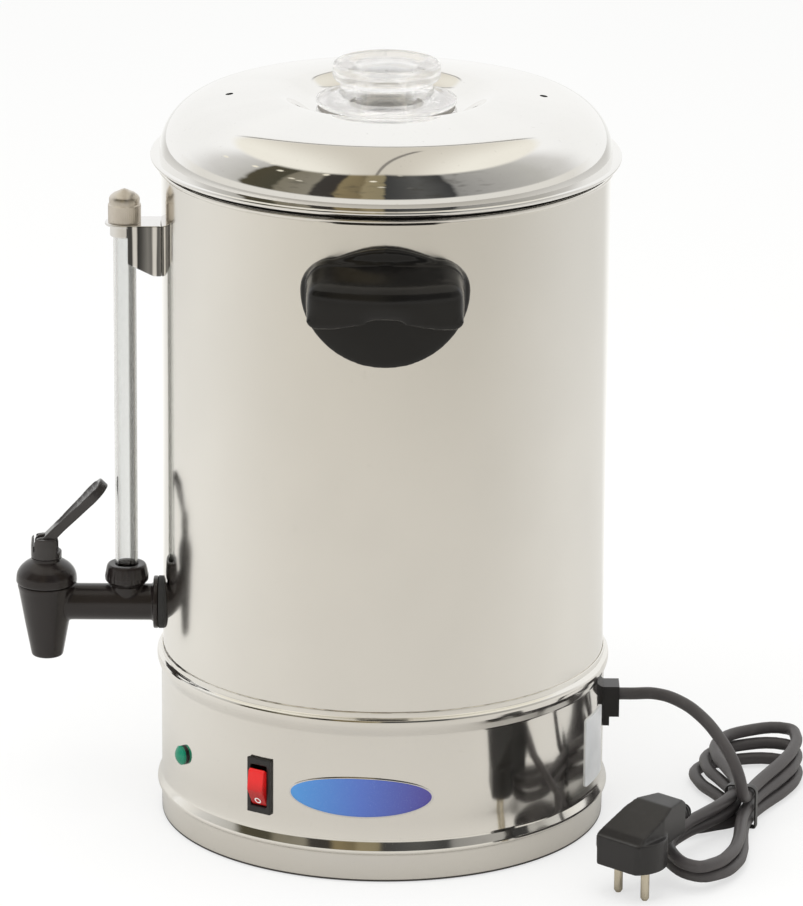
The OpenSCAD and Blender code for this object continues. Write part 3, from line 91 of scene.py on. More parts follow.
class Wire:
    """A shader socket that takes part in Python expressions."""

    def __init__(self, graph: "Graph", socket: bpy.types.NodeSocket) -> None:
        """Keeps the graph and the socket that the wire comes from."""
        self.graph = graph
        self.socket = socket

    def _math(self, operation: str, a: Amount, b: Amount = 0.0) -> "Wire":
        """Result of one Math node on two values or wires."""
        return self.graph.add("ShaderNodeMath", {"operation": operation}, {0: a, 1: b})

    def __add__(self, other: Amount) -> "Wire":
        """Sum."""
        return self._math("ADD", self, other)

    def __radd__(self, other: Amount) -> "Wire":
        """Sum with the wire on the right."""
        return self._math("ADD", other, self)

    def __sub__(self, other: Amount) -> "Wire":
        """Difference."""
        return self._math("SUBTRACT", self, other)

    def __rsub__(self, other: Amount) -> "Wire":
        """Difference with the wire on the right."""
        return self._math("SUBTRACT", other, self)

    def __mul__(self, other: Amount) -> "Wire":
        """Product."""
        return self._math("MULTIPLY", self, other)

    def __rmul__(self, other: Amount) -> "Wire":
        """Product with the wire on the right."""
        return self._math("MULTIPLY", other, self)

    def __truediv__(self, other: Amount) -> "Wire":
        """Quotient."""
        return self._math("DIVIDE", self, other)

    def __pow__(self, other: Amount) -> "Wire":
        """Power."""
        return self._math("POWER", self, other)

    def most(self, other: Amount) -> "Wire":
        """The larger of two values."""
        return self._math("MAXIMUM", self, other)

    def size(self) -> "Wire":
        """The value without its sign."""
        return self._math("ABSOLUTE", self)

    def angle(self, x: Amount) -> "Wire":
        """Angle in radians of the point that has this value as its y."""
        return self._math("ARCTAN2", self, x)

    def step(self, low: float, high: float) -> "Wire":
        """A smooth rise from 0 at low to 1 at high.

        Args:
            low: Value where the rise starts.
            high: Value where it ends.

        Returns:
            The risen value.
        """
        return self.graph.add(
            "ShaderNodeMapRange",
            {"interpolation_type": "SMOOTHSTEP"},
            {"Value": self, "From Min": low, "From Max": high},
        )


class Graph:
    """Node tree of one finish or of the world."""

    def __init__(self, tree: bpy.types.NodeTree) -> None:
        """Empties the tree and keeps it."""
        tree.nodes.clear()
        self.tree = tree

    def add(
        self,
        kind: str,
        settings: Optional[Dict[str, Any]] = None,
        sockets: Optional[Dict[Union[str, int], Any]] = None,
        out: Union[str, int] = 0,
    ) -> Wire:
        """Adds any node.

        Args:
            kind: Blender's name of the node's type.
            settings: Values of the node itself, set first; "stops" fills a ramp.
            sockets: Values or wires of its inputs.
            out: Output that the result comes from.

        Returns:
            The chosen output as a wire.
        """
        node = self.tree.nodes.new(kind)
        for key, value in (settings or {}).items():
            if key == "stops":
                self._fill(node.color_ramp, value)
            else:
                setattr(node, key, value)
        for key, value in (sockets or {}).items():
            if isinstance(value, Wire):
                self.tree.links.new(value.socket, node.inputs[key])
            else:
                node.inputs[key].default_value = value
        return Wire(self, node.outputs[out] if len(node.outputs) else None)

    @staticmethod
    def _fill(ramp: bpy.types.ColorRamp, stops: Sequence[Tuple[float, Colour]]) -> None:
        """Sets a ramp's stops.

        Args:
            ramp: The ramp.
            stops: Places and colours from left to right.
        """
        while len(ramp.elements) < len(stops):
            ramp.elements.new(1.0)
        for element, (place, colour) in zip(ramp.elements, stops):
            element.position = place
            element.color = (*colour, 1.0)

    def place(self) -> Wire:
        """Position in the object's own space."""
        return self.add("ShaderNodeTexCoord", out="Object")

    def parts(self, vector: Wire) -> Tuple[Wire, Wire, Wire]:
        """The three numbers of a vector.

        Args:
            vector: The vector.

        Returns:
            Its x, y and z.
        """
        x = self.add("ShaderNodeSeparateXYZ", sockets={0: vector})
        outputs = x.socket.node.outputs
        return x, Wire(self, outputs[1]), Wire(self, outputs[2])

    def joined(self, x: Amount, y: Amount, z: Amount) -> Wire:
        """A vector of three numbers."""
        return self.add("ShaderNodeCombineXYZ", sockets={0: x, 1: y, 2: z})

    def noise(self, vector: Wire, scale: float, detail: float = 3.0) -> Wire:
        """Cloudy pattern from 0 to 1, with so many clouds per metre."""
        return self.add("ShaderNodeTexNoise", {}, {"Vector": vector, "Scale": scale, "Detail": detail})

    def mix(self, share: Amount, a: Any, b: Any) -> Wire:
        """Colour between a and b.

        Args:
            share: How much of b.
            a: Colour or wire at 0.
            b: Colour or wire at 1.

        Returns:
            The mixed colour.
        """
        def four(c: Any) -> Any:
            """A colour with its alpha, or the wire."""
            return c if isinstance(c, Wire) else (*c, 1.0)

        return self.add(
            "ShaderNodeMix",
            {"data_type": "RGBA"},
            {"Factor": share, 6: four(a), 7: four(b)},
            out=2,
        )

    def bump(self, height: Wire, depth: float, strength: float = 1.0) -> Wire:
        """Normal that a height pattern leans, to a depth in metres."""
        return self.add("ShaderNodeBump", {}, {"Height": height, "Distance": depth, "Strength": strength})

    def ramp(self, value: Amount, low: float, high: float, stops: Sequence[Tuple[float, Colour]]) -> Wire:
        """Colour for a value between low and high.

        Args:
            value: The value.
            low: Where the first stop lies.
            high: Where the last stop lies.
            stops: Places from 0 to 1 and their colours.

        Returns:
            The colour.
        """
        along = self.add("ShaderNodeMapRange", {}, {"Value": value, "From Min": low, "From Max": high})
        return self.add("ShaderNodeValToRGB", {"stops": stops}, {"Fac": along})

    def slant(self) -> Wire:
        """How far a face turns away from the eye, from 0 to 1."""
        return self.add("ShaderNodeLayerWeight", {}, {"Blend": 0.5}, "Facing")

    def upward(self) -> Wire:
        """How far a face looks up, from -1 to 1."""
        return self.parts(self.add("ShaderNodeNewGeometry", out="Normal"))[2]

    def ray(self, kind: str) -> Wire:
        """Whether the ray is of a kind, such as Camera."""
        return self.add("ShaderNodeLightPath", out=f"Is {kind} Ray")

    def surface(self, sockets: Dict[str, Any]) -> None:
        """Ends the tree in one shader with these values or wires."""
        shader = self.add("ShaderNodeBsdfPrincipled", {}, sockets)
        self.add("ShaderNodeOutputMaterial", {}, {"Surface": shader})


class Finish:
    """What all finishes share: a name and one material made on first use."""

    made: Dict[str, bpy.types.Material] = {}
    name: str

    def paint(self, graph: Graph) -> None:
        """Fills the node tree; each finish has its own."""
        raise NotImplementedError

    def material(self) -> bpy.types.Material:
        """Makes the finish's material on first use.

        Returns:
            The material.
        """
        if self.name not in Finish.made:
            material = bpy.data.materials.new(self.name)
            material.use_nodes = True
            self.paint(Graph(material.node_tree))
            Finish.made[self.name] = material
        return Finish.made[self.name]

    def on(self, obj: Piece) -> None:
        """Gives an object this finish alone."""
        obj.data.materials.clear()
        obj.data.materials.append(self.material())


@dataclass(frozen=True)
class Steel(Finish):
    """Stainless sheet with fine marks of its finishing, a few wipe marks and painted shade below a height inside a
    radius.
    """

    name: str
    colour: Colour = (0.85, 0.83, 0.785)
    grain: Grain = Grain.TURNED
    rough: float = 0.14
    marks: float = 0.05
    keen: float = 0.0
    shade_below_z: float = 0.0
    shade_within_r: float = 0.0
    blur: float = 0.0002
    stain: Colour = (0.42, 0.39, 0.35)
    shadow: Colour = (0.09, 0.085, 0.08)

    def paint(self, graph: Graph) -> None:
        """Draws fine lines along the grain, cloudy wipe marks and a slight stain, and paints shade in the shadow
        colour below a set height inside a set radius.

        Args:
            graph: The material\'s tree.
        """
        place = graph.place()
        x, y, z = graph.parts(place)
        around = y.angle(x)
        if self.grain is Grain.TURNED:
            lines = graph.joined(around * 0.35, 0.0, z * 900.0)
        elif self.grain is Grain.DRAWN:
            lines = graph.joined(around * 260.0, z * 1.4, 0.0)
        else:
            lines = graph.joined(x * 30.0, y * 30.0, z * 30.0)
        fine = graph.noise(lines, 1.0, 4.0)
        wipes = graph.noise(graph.joined(around * 1.4, z * 9.0, 0.5), 1.0, 3.0).step(0.35, 0.75)
        specks = graph.noise(place, 420.0, 2.0).step(0.66, 0.8)
        rough = self.rough + self.marks * (fine - 0.5 + 0.35 * wipes + 0.5 * specks)
        facing = graph.slant().step(0.55, 0.9)
        dim = tuple(c * 0.93 for c in self.colour)
        warm = graph.mix(wipes * 0.6, self.colour, dim)
        worn = graph.mix(specks * 0.15, warm, self.stain)
        # Painted shade: the shadow colour below a set height inside a set radius. It stands in for the contact
        # shadow under the base's hem and the shade in the gap under the lid's hem.
        inside = 1.0 - ((x * x + y * y) ** 0.5).step(self.shade_within_r - self.blur, self.shade_within_r + self.blur)
        painted_shade = inside * (1.0 - z.step(self.shade_below_z - self.blur, self.shade_below_z + self.blur))
        graph.surface(
            {
                "Base Color": graph.mix(painted_shade, worn, self.shadow),
                "Metallic": 1.0,
                "Roughness": rough * (1.0 - self.keen * facing) + 0.4 * painted_shade,
                "Normal": graph.bump(fine, 0.00002, 0.12 if self.grain is Grain.MIRROR else 0.2),
            }
        )


@dataclass(frozen=True)
class Plated(Finish):
    """Bright or satin plating on small metal pieces."""

    name: str
    colour: Colour
    rough: float = 0.12
    tarnish: Colour = (0.38, 0.35, 0.31)

    def paint(self, graph: Graph) -> None:
        """Clouds the plating a little and dulls it in spots.

        Args:
            graph: The material\'s tree.
        """
        place = graph.place()
        cloud = graph.noise(place, 160.0, 4.0)
        spots = graph.noise(place, 900.0, 2.0).step(0.6, 0.78)
        clouded = graph.mix(cloud * 0.25, self.colour, self.tarnish)
        graph.surface(
            {
                "Base Color": graph.mix(spots * 0.35, clouded, self.tarnish),
                "Metallic": 1.0,
                "Roughness": self.rough + 0.12 * cloud + 0.1 * spots,
                "Normal": graph.bump(cloud, 0.00005, 0.25),
            }
        )


@dataclass(frozen=True)
class PaintedReflection(Finish):
    """Bright sheet with a painted reflection of a dim corner in upright stripes, and a painted highlight on what
    faces up.
    """

    name: str
    from_y: float = -0.146
    to_y: float = -0.124
    waver: float = 0.0016
    # Painted highlight colour on faces that look up.
    top: Colour = (0.82, 0.81, 0.80)
    # Painted reflection: places across the sheet and the brightness of each stripe.
    reflection_bands: Tuple[Point2, ...] = (
        (0.0, 0.80), (0.08, 0.80), (0.13, 0.08), (0.22, 0.08), (0.26, 0.90), (0.33, 0.90), (0.37, 0.05),
        (0.46, 0.10), (0.62, 0.28), (0.72, 0.20), (0.77, 0.90), (0.84, 0.90), (0.88, 0.12), (1.0, 0.30),
    )

    def paint(self, graph: Graph) -> None:
        """Paints reflection stripes across the sheet, and a painted highlight on what faces up.

        Args:
            graph: The material\'s tree.
        """
        x, y, z = graph.parts(graph.place())
        cloud = graph.noise(graph.joined(x * 60.0, y * 200.0, z * 25.0), 1.0, 2.0)
        stops = [(place, (level, 0.985 * level, 0.96 * level)) for place, level in self.reflection_bands]
        # Painted reflection stripes along Y, then a painted highlight where faces look up.
        streaks = graph.ramp(y + self.waver * (cloud - 0.5), self.from_y, self.to_y, stops)
        up = graph.upward().step(0.4, 0.9)
        graph.surface(
            {
                "Base Color": graph.mix(up, streaks, self.top),
                "Metallic": 1.0,
                "Roughness": 0.10 + 0.08 * cloud,
                "Normal": graph.bump(cloud, 0.00003, 0.2),
            }
        )


@dataclass(frozen=True)
class Moulding(Finish):
    """Moulded plastic or phenolic with a fine skin, flow clouds and dust."""

    name: str
    colour: Colour
    rough: float = 0.3
    skin: float = 0.00006
    dust: Colour = (0.28, 0.26, 0.24)
    dusted: float = 0.08
    shine: float = 0.5

    def paint(self, graph: Graph) -> None:
        """Gives the skin its grain, and dust to what faces up.

        Args:
            graph: The material\'s tree.
        """
        place = graph.place()
        grain = graph.noise(place, 1500.0, 2.0)
        cloud = graph.noise(place, 55.0, 4.0)
        up = graph.upward().step(0.55, 1.0)
        dusty = up * graph.noise(place, 240.0, 5.0).step(0.45, 0.85) * self.dusted
        lighter = tuple(min(1.0, c * 1.15 + 0.001) for c in self.colour)
        flow = graph.mix(cloud.step(0.3, 0.75), self.colour, lighter)
        graph.surface(
            {
                "Base Color": graph.mix(dusty, flow, self.dust),
                "Roughness": self.rough + 0.14 * (cloud - 0.5) + 0.35 * dusty,
                "Normal": graph.bump(grain + cloud * 0.6, self.skin, 0.45),
                "Specular IOR Level": self.shine,
            }
        )


@dataclass(frozen=True)
class Clear(Finish):
    """Clear moulding or glass with a faint haze of handling, painted dark rims where it turns edge-on, painted
    shade past a line along Y and a faint painted glow.
    """

    name: str
    tint: Colour = (0.98, 0.985, 0.98)
    index: float = 1.49
    rough: float = 0.015
    shade: Colour = (0.95, 0.95, 0.95)
    shade_y: Tuple[float, float] = (1.0, 2.0)
    # rim is how much of the edge colour is painted where the surface turns edge-on, as a painted dark rim; glow is
    # the strength of a painted white glow.
    rim: float = 0.0
    solid: float = 1.0
    see: float = 0.0
    glow: float = 0.0
    edge: Colour = (0.16, 0.16, 0.16)

    def paint(self, graph: Graph) -> None:
        """Lets light through, hazes it in finger-sized clouds, paints shade on what lies past a line along Y,
        paints dark rims where the surface turns edge-on and adds a faint painted glow.

        Args:
            graph: The material\'s tree.
        """
        place = graph.place()
        haze = graph.noise(place, 70.0, 3.0).step(0.5, 0.8)
        # Painted shade past a line along Y, and painted dark rims where the surface turns edge-on.
        past = graph.parts(place)[1].step(*self.shade_y)
        clear = graph.mix(haze * 0.3, self.tint, tuple(c * 0.97 for c in self.tint))
        slant = graph.slant()
        facing = slant.step(0.72, 0.92)
        shaded = graph.mix(past, clear, self.shade)
        graph.surface(
            {
                "Base Color": graph.mix(facing * self.rim, shaded, self.edge),
                "Roughness": self.rough + 0.05 * haze,
                "Alpha": self.solid * (1.0 - self.see * (1.0 - slant.step(0.3, 0.85))),
                "Transmission Weight": 1.0,
                "IOR": self.index,
                # Faint painted white glow.
                "Emission Color": (1.0, 1.0, 1.0, 1.0),
                "Emission Strength": self.glow,
            }
        )


@dataclass(frozen=True)
class Sheath(Finish):
    """Soft cord sheath with a matte skin, faint draw lines and scuffs."""

    name: str
    colour: Colour = (0.062, 0.056, 0.056)
    rough: float = 0.46
    scuffed: Colour = (0.105, 0.097, 0.095)

    def paint(self, graph: Graph) -> None:
        """Scuffs the sheath and gives it its extruded skin.

        Args:
            graph: The material\'s tree.
        """
        place = graph.place()
        fine = graph.noise(place, 2200.0, 2.0)
        scuff = graph.noise(place, 90.0, 5.0).step(0.55, 0.8)
        graph.surface(
            {
                "Base Color": graph.mix(scuff * 0.5, self.colour, self.scuffed),
                "Roughness": self.rough + 0.16 * scuff,
                "Normal": graph.bump(fine, 0.00008, 0.5),
            }
        )


@dataclass(frozen=True)
class Lens(Finish):
    """Coloured translucent moulding with a little painted glow, as if lit from inside, and painted shade toward
    its foot.
    """

    name: str
    colour: Colour
    # glow is the strength of a painted glow in the lens's colour; the last field gives the heights from painted
    # shade below to full colour above.
    glow: float = 0.12
    prism: float = 0.35
    shade_to_lit_z: Tuple[float, float] = (-1.0, -0.5)

    def paint(self, graph: Graph) -> None:
        """Paints shade on the lens toward its foot, with a prism pattern under its face and a painted glow.

        Args:
            graph: The material\'s tree.
        """
        place = graph.place()
        cells = graph.add("ShaderNodeTexVoronoi", {}, {"Vector": place, "Scale": 900.0})
        cloud = graph.noise(place, 260.0, 2.0)
        # Painted shade: darker colour toward the foot, full colour higher up; the emission below is a painted
        # glow.
        deep = tuple(c * 0.5 for c in self.colour)
        height = graph.parts(place)[2].step(*self.shade_to_lit_z)
        colour = graph.mix(height * (1.0 - 0.25 * cloud), deep, self.colour)
        graph.surface(
            {
                "Base Color": colour,
                "Roughness": 0.16 + 0.1 * cloud,
                "Emission Color": colour,
                "Emission Strength": self.glow,
                "Normal": graph.bump(cells, 0.0001, self.prism),
            }
        )


@dataclass(frozen=True)
class Enamel(Finish):
    """Badge face: enamel that runs from light blue to violet under a clear dome."""

    name: str
    left: Colour = (0.050, 0.25, 0.58)
    middle: Colour = (0.060, 0.13, 0.46)
    right: Colour = (0.055, 0.038, 0.26)
    glint: Colour = (0.4, 0.5, 0.75)
    from_y: float = -0.052
    to_y: float = 0.028

    def paint(self, graph: Graph) -> None:
        """Runs one colour into the next with a fine sparkle.

        Args:
            graph: The material\'s tree.
        """
        place = graph.place()
        sparkle = graph.noise(place, 3000.0, 1.0).step(0.62, 0.75)
        stops = [(0.0, self.left), (0.5, self.middle), (1.0, self.right)]
        body = graph.ramp(graph.parts(place)[1], self.from_y, self.to_y, stops)
        graph.surface(
            {
                "Base Color": graph.mix(sparkle * 0.18, body, self.glint),
                "Roughness": 0.2 + 0.12 * sparkle,
                "Coat Weight": 0.7,
                "Coat Roughness": 0.04,
            }
        )


STEEL_WALL = Steel("vessel_wall_steel", grain=Grain.DRAWN, rough=0.17, marks=0.06, keen=0.85)
# The base gets a painted contact shadow on the skirt below 1.8 mm. The lid gets painted shade under its hem and on
# its locating ring, in the gap over the vessel's rim.
STEEL_BASE = Steel("base_steel", grain=Grain.TURNED, rough=0.09, marks=0.05, shade_below_z=0.0018, shade_within_r=0.2)
STEEL_LID = Steel("lid_steel", (0.90, 0.89, 0.87), Grain.MIRROR, 0.045, 0.03, shade_below_z=0.3843, shade_within_r=0.1294)
STEEL_INNER = Steel("inner_steel", colour=(0.60, 0.58, 0.55), grain=Grain.TURNED, rough=0.3, marks=0.12)
STEEL_HEATER = Plated("heater_sheath", (0.22, 0.21, 0.21), 0.42, (0.10, 0.08, 0.07))
ZINC = Plated("zinc_screws", (0.56, 0.56, 0.54), 0.3)
CHROME = Plated("bright_chrome", (0.78, 0.77, 0.76), 0.05, (0.60, 0.59, 0.57))
# Bracket sheet with a painted reflection and a painted highlight.
BRACKET_REFLECTION = PaintedReflection("bracket_painted_reflection")
NICKEL = Plated("cap_nickel", (0.70, 0.65, 0.58), 0.26, (0.46, 0.41, 0.35))
PIN_PLATE = Plated("plug_pin_plate", (0.74, 0.68, 0.55), 0.16, (0.50, 0.42, 0.28))
GRIP = Moulding("grip_black", (0.006, 0.0055, 0.005), 0.2, dusted=0.02, shine=0.36)
TAP_BLACK = Moulding("tap_black_brown", (0.013, 0.010, 0.0095), 0.22, dusted=0.03)
LEVER_BLACK = Moulding("lever_grey_black", (0.030, 0.027, 0.026), 0.2, dusted=0.03)
DULL_BLACK = Moulding("fitting_black", (0.013, 0.012, 0.012), 0.34, dusted=0.03)
PLUG_BLACK = Moulding("plug_black", (0.014, 0.013, 0.013), 0.36, dusted=0.03)
IVORY = Moulding("ivory_nylon", (0.72, 0.68, 0.58), 0.4, dust=(0.5, 0.47, 0.42))
GREY_SEAL = Moulding("grey_silicone", (0.42, 0.40, 0.38), 0.55)
BLACK_RUBBER = Moulding("black_rubber", (0.022, 0.022, 0.022), 0.62, skin=0.0001)
LABEL = Moulding("blank_plate", (0.74, 0.75, 0.76), 0.3, dust=(0.6, 0.6, 0.6))
# Knob and tube get painted dark rims where they turn edge-on; the knob also a faint painted glow, the tube painted
# shade on its side toward the vessel.
KNOB_CLEAR = Clear("knob_clear", (1.0, 1.0, 1.0), 1.42, 0.01, rim=0.8, solid=0.85, see=0.5, glow=0.08)
TUBE_GLASS = Clear(
    "tube_glass", (0.84, 0.845, 0.84), 1.47, 0.008, (0.46, 0.46, 0.45), (-0.1440, -0.1425), 0.9
)
# Rocker: painted shade on its lower part and a small painted glow. Lamp lens: a small painted glow.
RED_LENS = Lens("rocker_red", (0.66, 0.012, 0.012), 0.12, 0.03, (0.043, 0.056))
GREEN_LENS = Lens("lamp_green", (0.006, 0.21, 0.12), 0.06)
WHITE_MARK = Moulding("switch_mark", (0.80, 0.78, 0.75), 0.4)
CORD = Sheath("cord_sheath")
BLUE_ENAMEL = Enamel("badge_blue")

CAD_FINISH: Dict[str, Finish] = {
    "vessel_steel": STEEL_WALL,
    "inner_steel": STEEL_INNER,
    "heater_steel": STEEL_HEATER,
    "zinc": ZINC,
    "chrome": CHROME,
    "nickel": NICKEL,
    "grip_black": GRIP,
    "tap_black": TAP_BLACK,
    "dull_black": DULL_BLACK,
    "clear": KNOB_CLEAR,
    "glass": TUBE_GLASS,
    "red": RED_LENS,
    "green": GREEN_LENS,
    "badge_blue": BLUE_ENAMEL,
    "plate_grey": LABEL,
    "ivory": IVORY,
    "seal_grey": GREY_SEAL,
    "seal_black": BLACK_RUBBER,
    "cord_black": CORD,
    "pins": PIN_PLATE,
}

NODE_FINISH: Dict[str, Finish] = {"gauge_seal": GREY_SEAL}


def arc(cx: float, cy: float, rx: float, ry: float, a0: float, a1: float, steps: int) -> Line2:
    """Points of an elliptical arc about (cx, cy), from a0 to a1 in degrees."""
    angles = [math.radians(a0 + (a1 - a0) * i / steps) for i in range(steps + 1)]
    return [(cx + rx * math.cos(a), cy + ry * math.sin(a)) for a in angles]


def share(value: float) -> float:
    """A value held between 0 and 1."""
    return min(1.0, max(0.0, value))


def rounded(line: Line2, radius: float, steps: int = 4, closed: bool = True) -> Line2:
    """Rounds the corners of a line.

    Args:
        line: The corners.
        radius: Wanted radius, less where a side is short.
        steps: Steps in each round.
        closed: Whether the last corner joins the first.

    Returns:
        The rounded line.
    """
    made: Line2 = []
    n = len(line)
    for i, corner in enumerate(line):
        if not closed and i in (0, n - 1):
            made.append(corner)
            continue
        here = Vector(corner)
        before, after = Vector(line[i - 1]) - here, Vector(line[(i + 1) % n]) - here
        if before.length < 1e-9 or after.length < 1e-9:
            continue
        angle = before.angle(after)
        if angle > math.radians(176):
            made.append(corner)
            continue
        back = min(radius / math.tan(angle / 2), 0.45 * before.length, 0.45 * after.length)
        start, end = here + before.normalized() * back, here + after.normalized() * back
        for k in range(steps + 1):
            t = k / steps
            p = start * (1 - t) ** 2 + here * (2 * t * (1 - t)) + end * t ** 2
            made.append((p.x, p.y))
    return made


class Form:
    """Makes the meshes of pieces and hangs them on their bodies."""

    @staticmethod
    def piece(name: str, mesh: bpy.types.Mesh, sharp: float = 38.0) -> Piece:
        """Object of a mesh, shaded smooth except at its edges.

        Args:
            name: Name of the piece.
            mesh: Its mesh.
            sharp: Angle in degrees from which an edge shows.

        Returns:
            The object.
        """
        mesh.name = name
        mesh.shade_smooth()
        mesh.set_sharp_from_angle(angle=math.radians(sharp))
        obj = bpy.data.objects.new(name, mesh)
        bpy.context.scene.collection.objects.link(obj)
        return obj

    @staticmethod
    def from_bmesh(name: str, bm: bmesh.types.BMesh, sharp: float = 38.0) -> Piece:
        """Object of a bmesh, which is used up.

        Args:
            name: Name of the piece.
            bm: The mesh being edited.
            sharp: Angle in degrees from which an edge shows.

        Returns:
            The object.
        """
        bmesh.ops.remove_doubles(bm, verts=bm.verts, dist=1e-7)
        bmesh.ops.recalc_face_normals(bm, faces=bm.faces)
        mesh = bpy.data.meshes.new(name)
        bm.to_mesh(mesh)
        bm.free()
        return Form.piece(name, mesh, sharp)

    @staticmethod
    def turn(
        name: str,
        line: Line2,
        at: Point2 = (0.0, 0.0),
        sides: int = 128,
        sharp: float = 38.0,
        wobble: Optional[Callable[[float, float, float], float]] = None,
    ) -> Piece:
        """Turned piece: a closed line revolved about an upright axis.

        Args:
            name: Name of the piece.
            line: Radii and heights in millimetres.
            at: Place of the axis in millimetres.
            sides: Number of sides.
            sharp: Angle in degrees from which an edge shows.
            wobble: Adds to a radius, given the angle, radius and height.

        Returns:
            The object.
        """
        bm = bmesh.new()
        rings: List[List[bmesh.types.BMVert]] = []
        for i in range(sides):
            a = 2 * math.pi * i / sides
            ring = []
            for r, z in line:
                q = r + (wobble(a, r, z) if wobble and r > 1e-6 else 0.0)
                x, y = at[0] + q * math.cos(a), at[1] + q * math.sin(a)
                ring.append(bm.verts.new((x * MM, y * MM, z * MM)))
            rings.append(ring)
        n = len(line)
        for i in range(sides):
            for k in range(n):
                a, b = rings[i], rings[(i + 1) % sides]
                j = (k + 1) % n
                if line[k][0] < 1e-6 and line[j][0] < 1e-6:
                    continue
                bm.faces.new((a[k], b[k], b[j], a[j]))
        bmesh.ops.remove_doubles(bm, verts=bm.verts, dist=1e-7)
        bmesh.ops.dissolve_degenerate(bm, edges=bm.edges, dist=1e-7)
        return Form.from_bmesh(name, bm, sharp)

    @staticmethod
    def baked(obj: Piece) -> bpy.types.Mesh:
        """Mesh of an object with its modifiers applied."""
        graph = bpy.context.evaluated_depsgraph_get()
        return bpy.data.meshes.new_from_object(obj.evaluated_get(graph))

    @staticmethod
    def strips(bm: bmesh.types.BMesh, loops: Sequence[Sequence[bmesh.types.BMVert]]) -> None:
        """Adds the faces between each loop of vertices and the next.

        Args:
            bm: The mesh being edited.
            loops: Loops of equal count.
        """
        for a, b in zip(loops, loops[1:]):
            for k in range(len(a)):
                j = (k + 1) % len(a)
                bm.faces.new((a[k], a[j], b[j], b[k]))

    @staticmethod
    def cut(obj: Piece, outline: Line2, at: Matrix, low: float, high: float) -> Piece:
        """Cuts a straight hole through a piece.

        Args:
            obj: The piece.
            outline: The hole's outline in millimetres.
            at: Where the outline lies; the hole runs along its third axis.
            low: Start of the hole along that axis.
            high: End of the hole.

        Returns:
            The piece.
        """
        rings = [[(at @ Vector((x, y, z))) * MM for x, y in outline] for z in (low, high)]
        tool = Form.skin(obj.name + "_tool", rings)
        cutter = obj.modifiers.new("cut", "BOOLEAN")
        cutter.operation = "DIFFERENCE"
        cutter.solver = "EXACT"
        cutter.object = tool
        mesh = Form.baked(obj)
        obj.modifiers.clear()
        obj.data = mesh
        mesh.name = obj.name
        mesh.shade_smooth()
        mesh.set_sharp_from_angle(angle=math.radians(30.0))
        bpy.data.objects.remove(tool)
        return obj

    @staticmethod
    def skin(name: str, rings: Sequence[Sequence[Vector]], sharp: float = 38.0) -> Piece:
        """Closed piece through rings of equal count, in metres.

        Args:
            name: Name of the piece.
            rings: The rings from one end to the other.
            sharp: Angle in degrees from which an edge shows.

        Returns:
            The object.
        """
        bm = bmesh.new()
        made = [[bm.verts.new(p) for p in ring] for ring in rings]
        Form.strips(bm, made)
        bm.faces.new(list(reversed(made[0])))
        bm.faces.new(made[-1])
        return Form.from_bmesh(name, bm, sharp)

    @staticmethod
    def ease(mesh: bpy.types.Mesh, passes: int, where: Optional[Callable[[Vector], bool]] = None) -> None:
        """Smooths a mesh.

        Args:
            mesh: The mesh.
            passes: Rounds of smoothing.
            where: Picks the points to smooth, given in millimetres; without it, all.
        """
        bm = bmesh.new()
        bm.from_mesh(mesh)
        verts = [v for v in bm.verts if where is None or where(v.co / MM)]
        for _ in range(passes):
            bmesh.ops.smooth_vert(
                bm, verts=verts, factor=0.5, use_axis_x=True, use_axis_y=True, use_axis_z=True
            )
        bm.to_mesh(mesh)
        bm.free()

    @staticmethod
    def moulded(
        name: str,
        node: str,
        voxel: float,
        passes: int,
        move: Optional[Callable[[Vector, Vector], Vector]] = None,
        more: Optional[Tuple[int, Callable[[Vector], bool]]] = None,
    ) -> Piece:
        """Piece with the soft edges of a moulding, from the solid of a CAD node.

        Args:
            name: Name of the piece.
            node: The CAD node whose solid it follows.
            voxel: Size of the mesh in millimetres.
            passes: Rounds of smoothing.
            move: Gives a new place for a point and its normal, in millimetres.
            more: Further rounds of smoothing, and the points that get them.

        Returns:
            The object.
        """
        raw = bpy.data.objects.new(name + "_raw", frame["nodes"][node].data.copy())
        bpy.context.scene.collection.objects.link(raw)
        remesh = raw.modifiers.new("remesh", "REMESH")
        remesh.mode = "VOXEL"
        remesh.voxel_size = voxel * MM
        mesh = Form.baked(raw)
        bpy.data.objects.remove(raw)
        Form.ease(mesh, passes)
        if more:
            Form.ease(mesh, *more)
        if move:
            normals = [v.normal.copy() for v in mesh.vertices]
            for vertex, normal in zip(mesh.vertices, normals):
                vertex.co = move(vertex.co / MM, normal) * MM
        return Form.piece(name, mesh, 60.0)

    @staticmethod
    def hang(obj: Piece, body: Body, finish: Finish, slot: str, *nodes: str) -> Piece:
        """Finishes a piece, lets it ride on its body and stand for its nodes.

        Args:
            obj: The piece.
            body: The body that carries it.
            finish: Its finish.
            slot: The record's material slot; not used.
            nodes: CAD nodes that it stands for.

        Returns:
            The piece.
        """
        finish.on(obj)
        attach(obj, body.value)
        if nodes:
            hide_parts(*nodes)
        log.info("%s rides on %s", obj.name, body.value)
        return obj


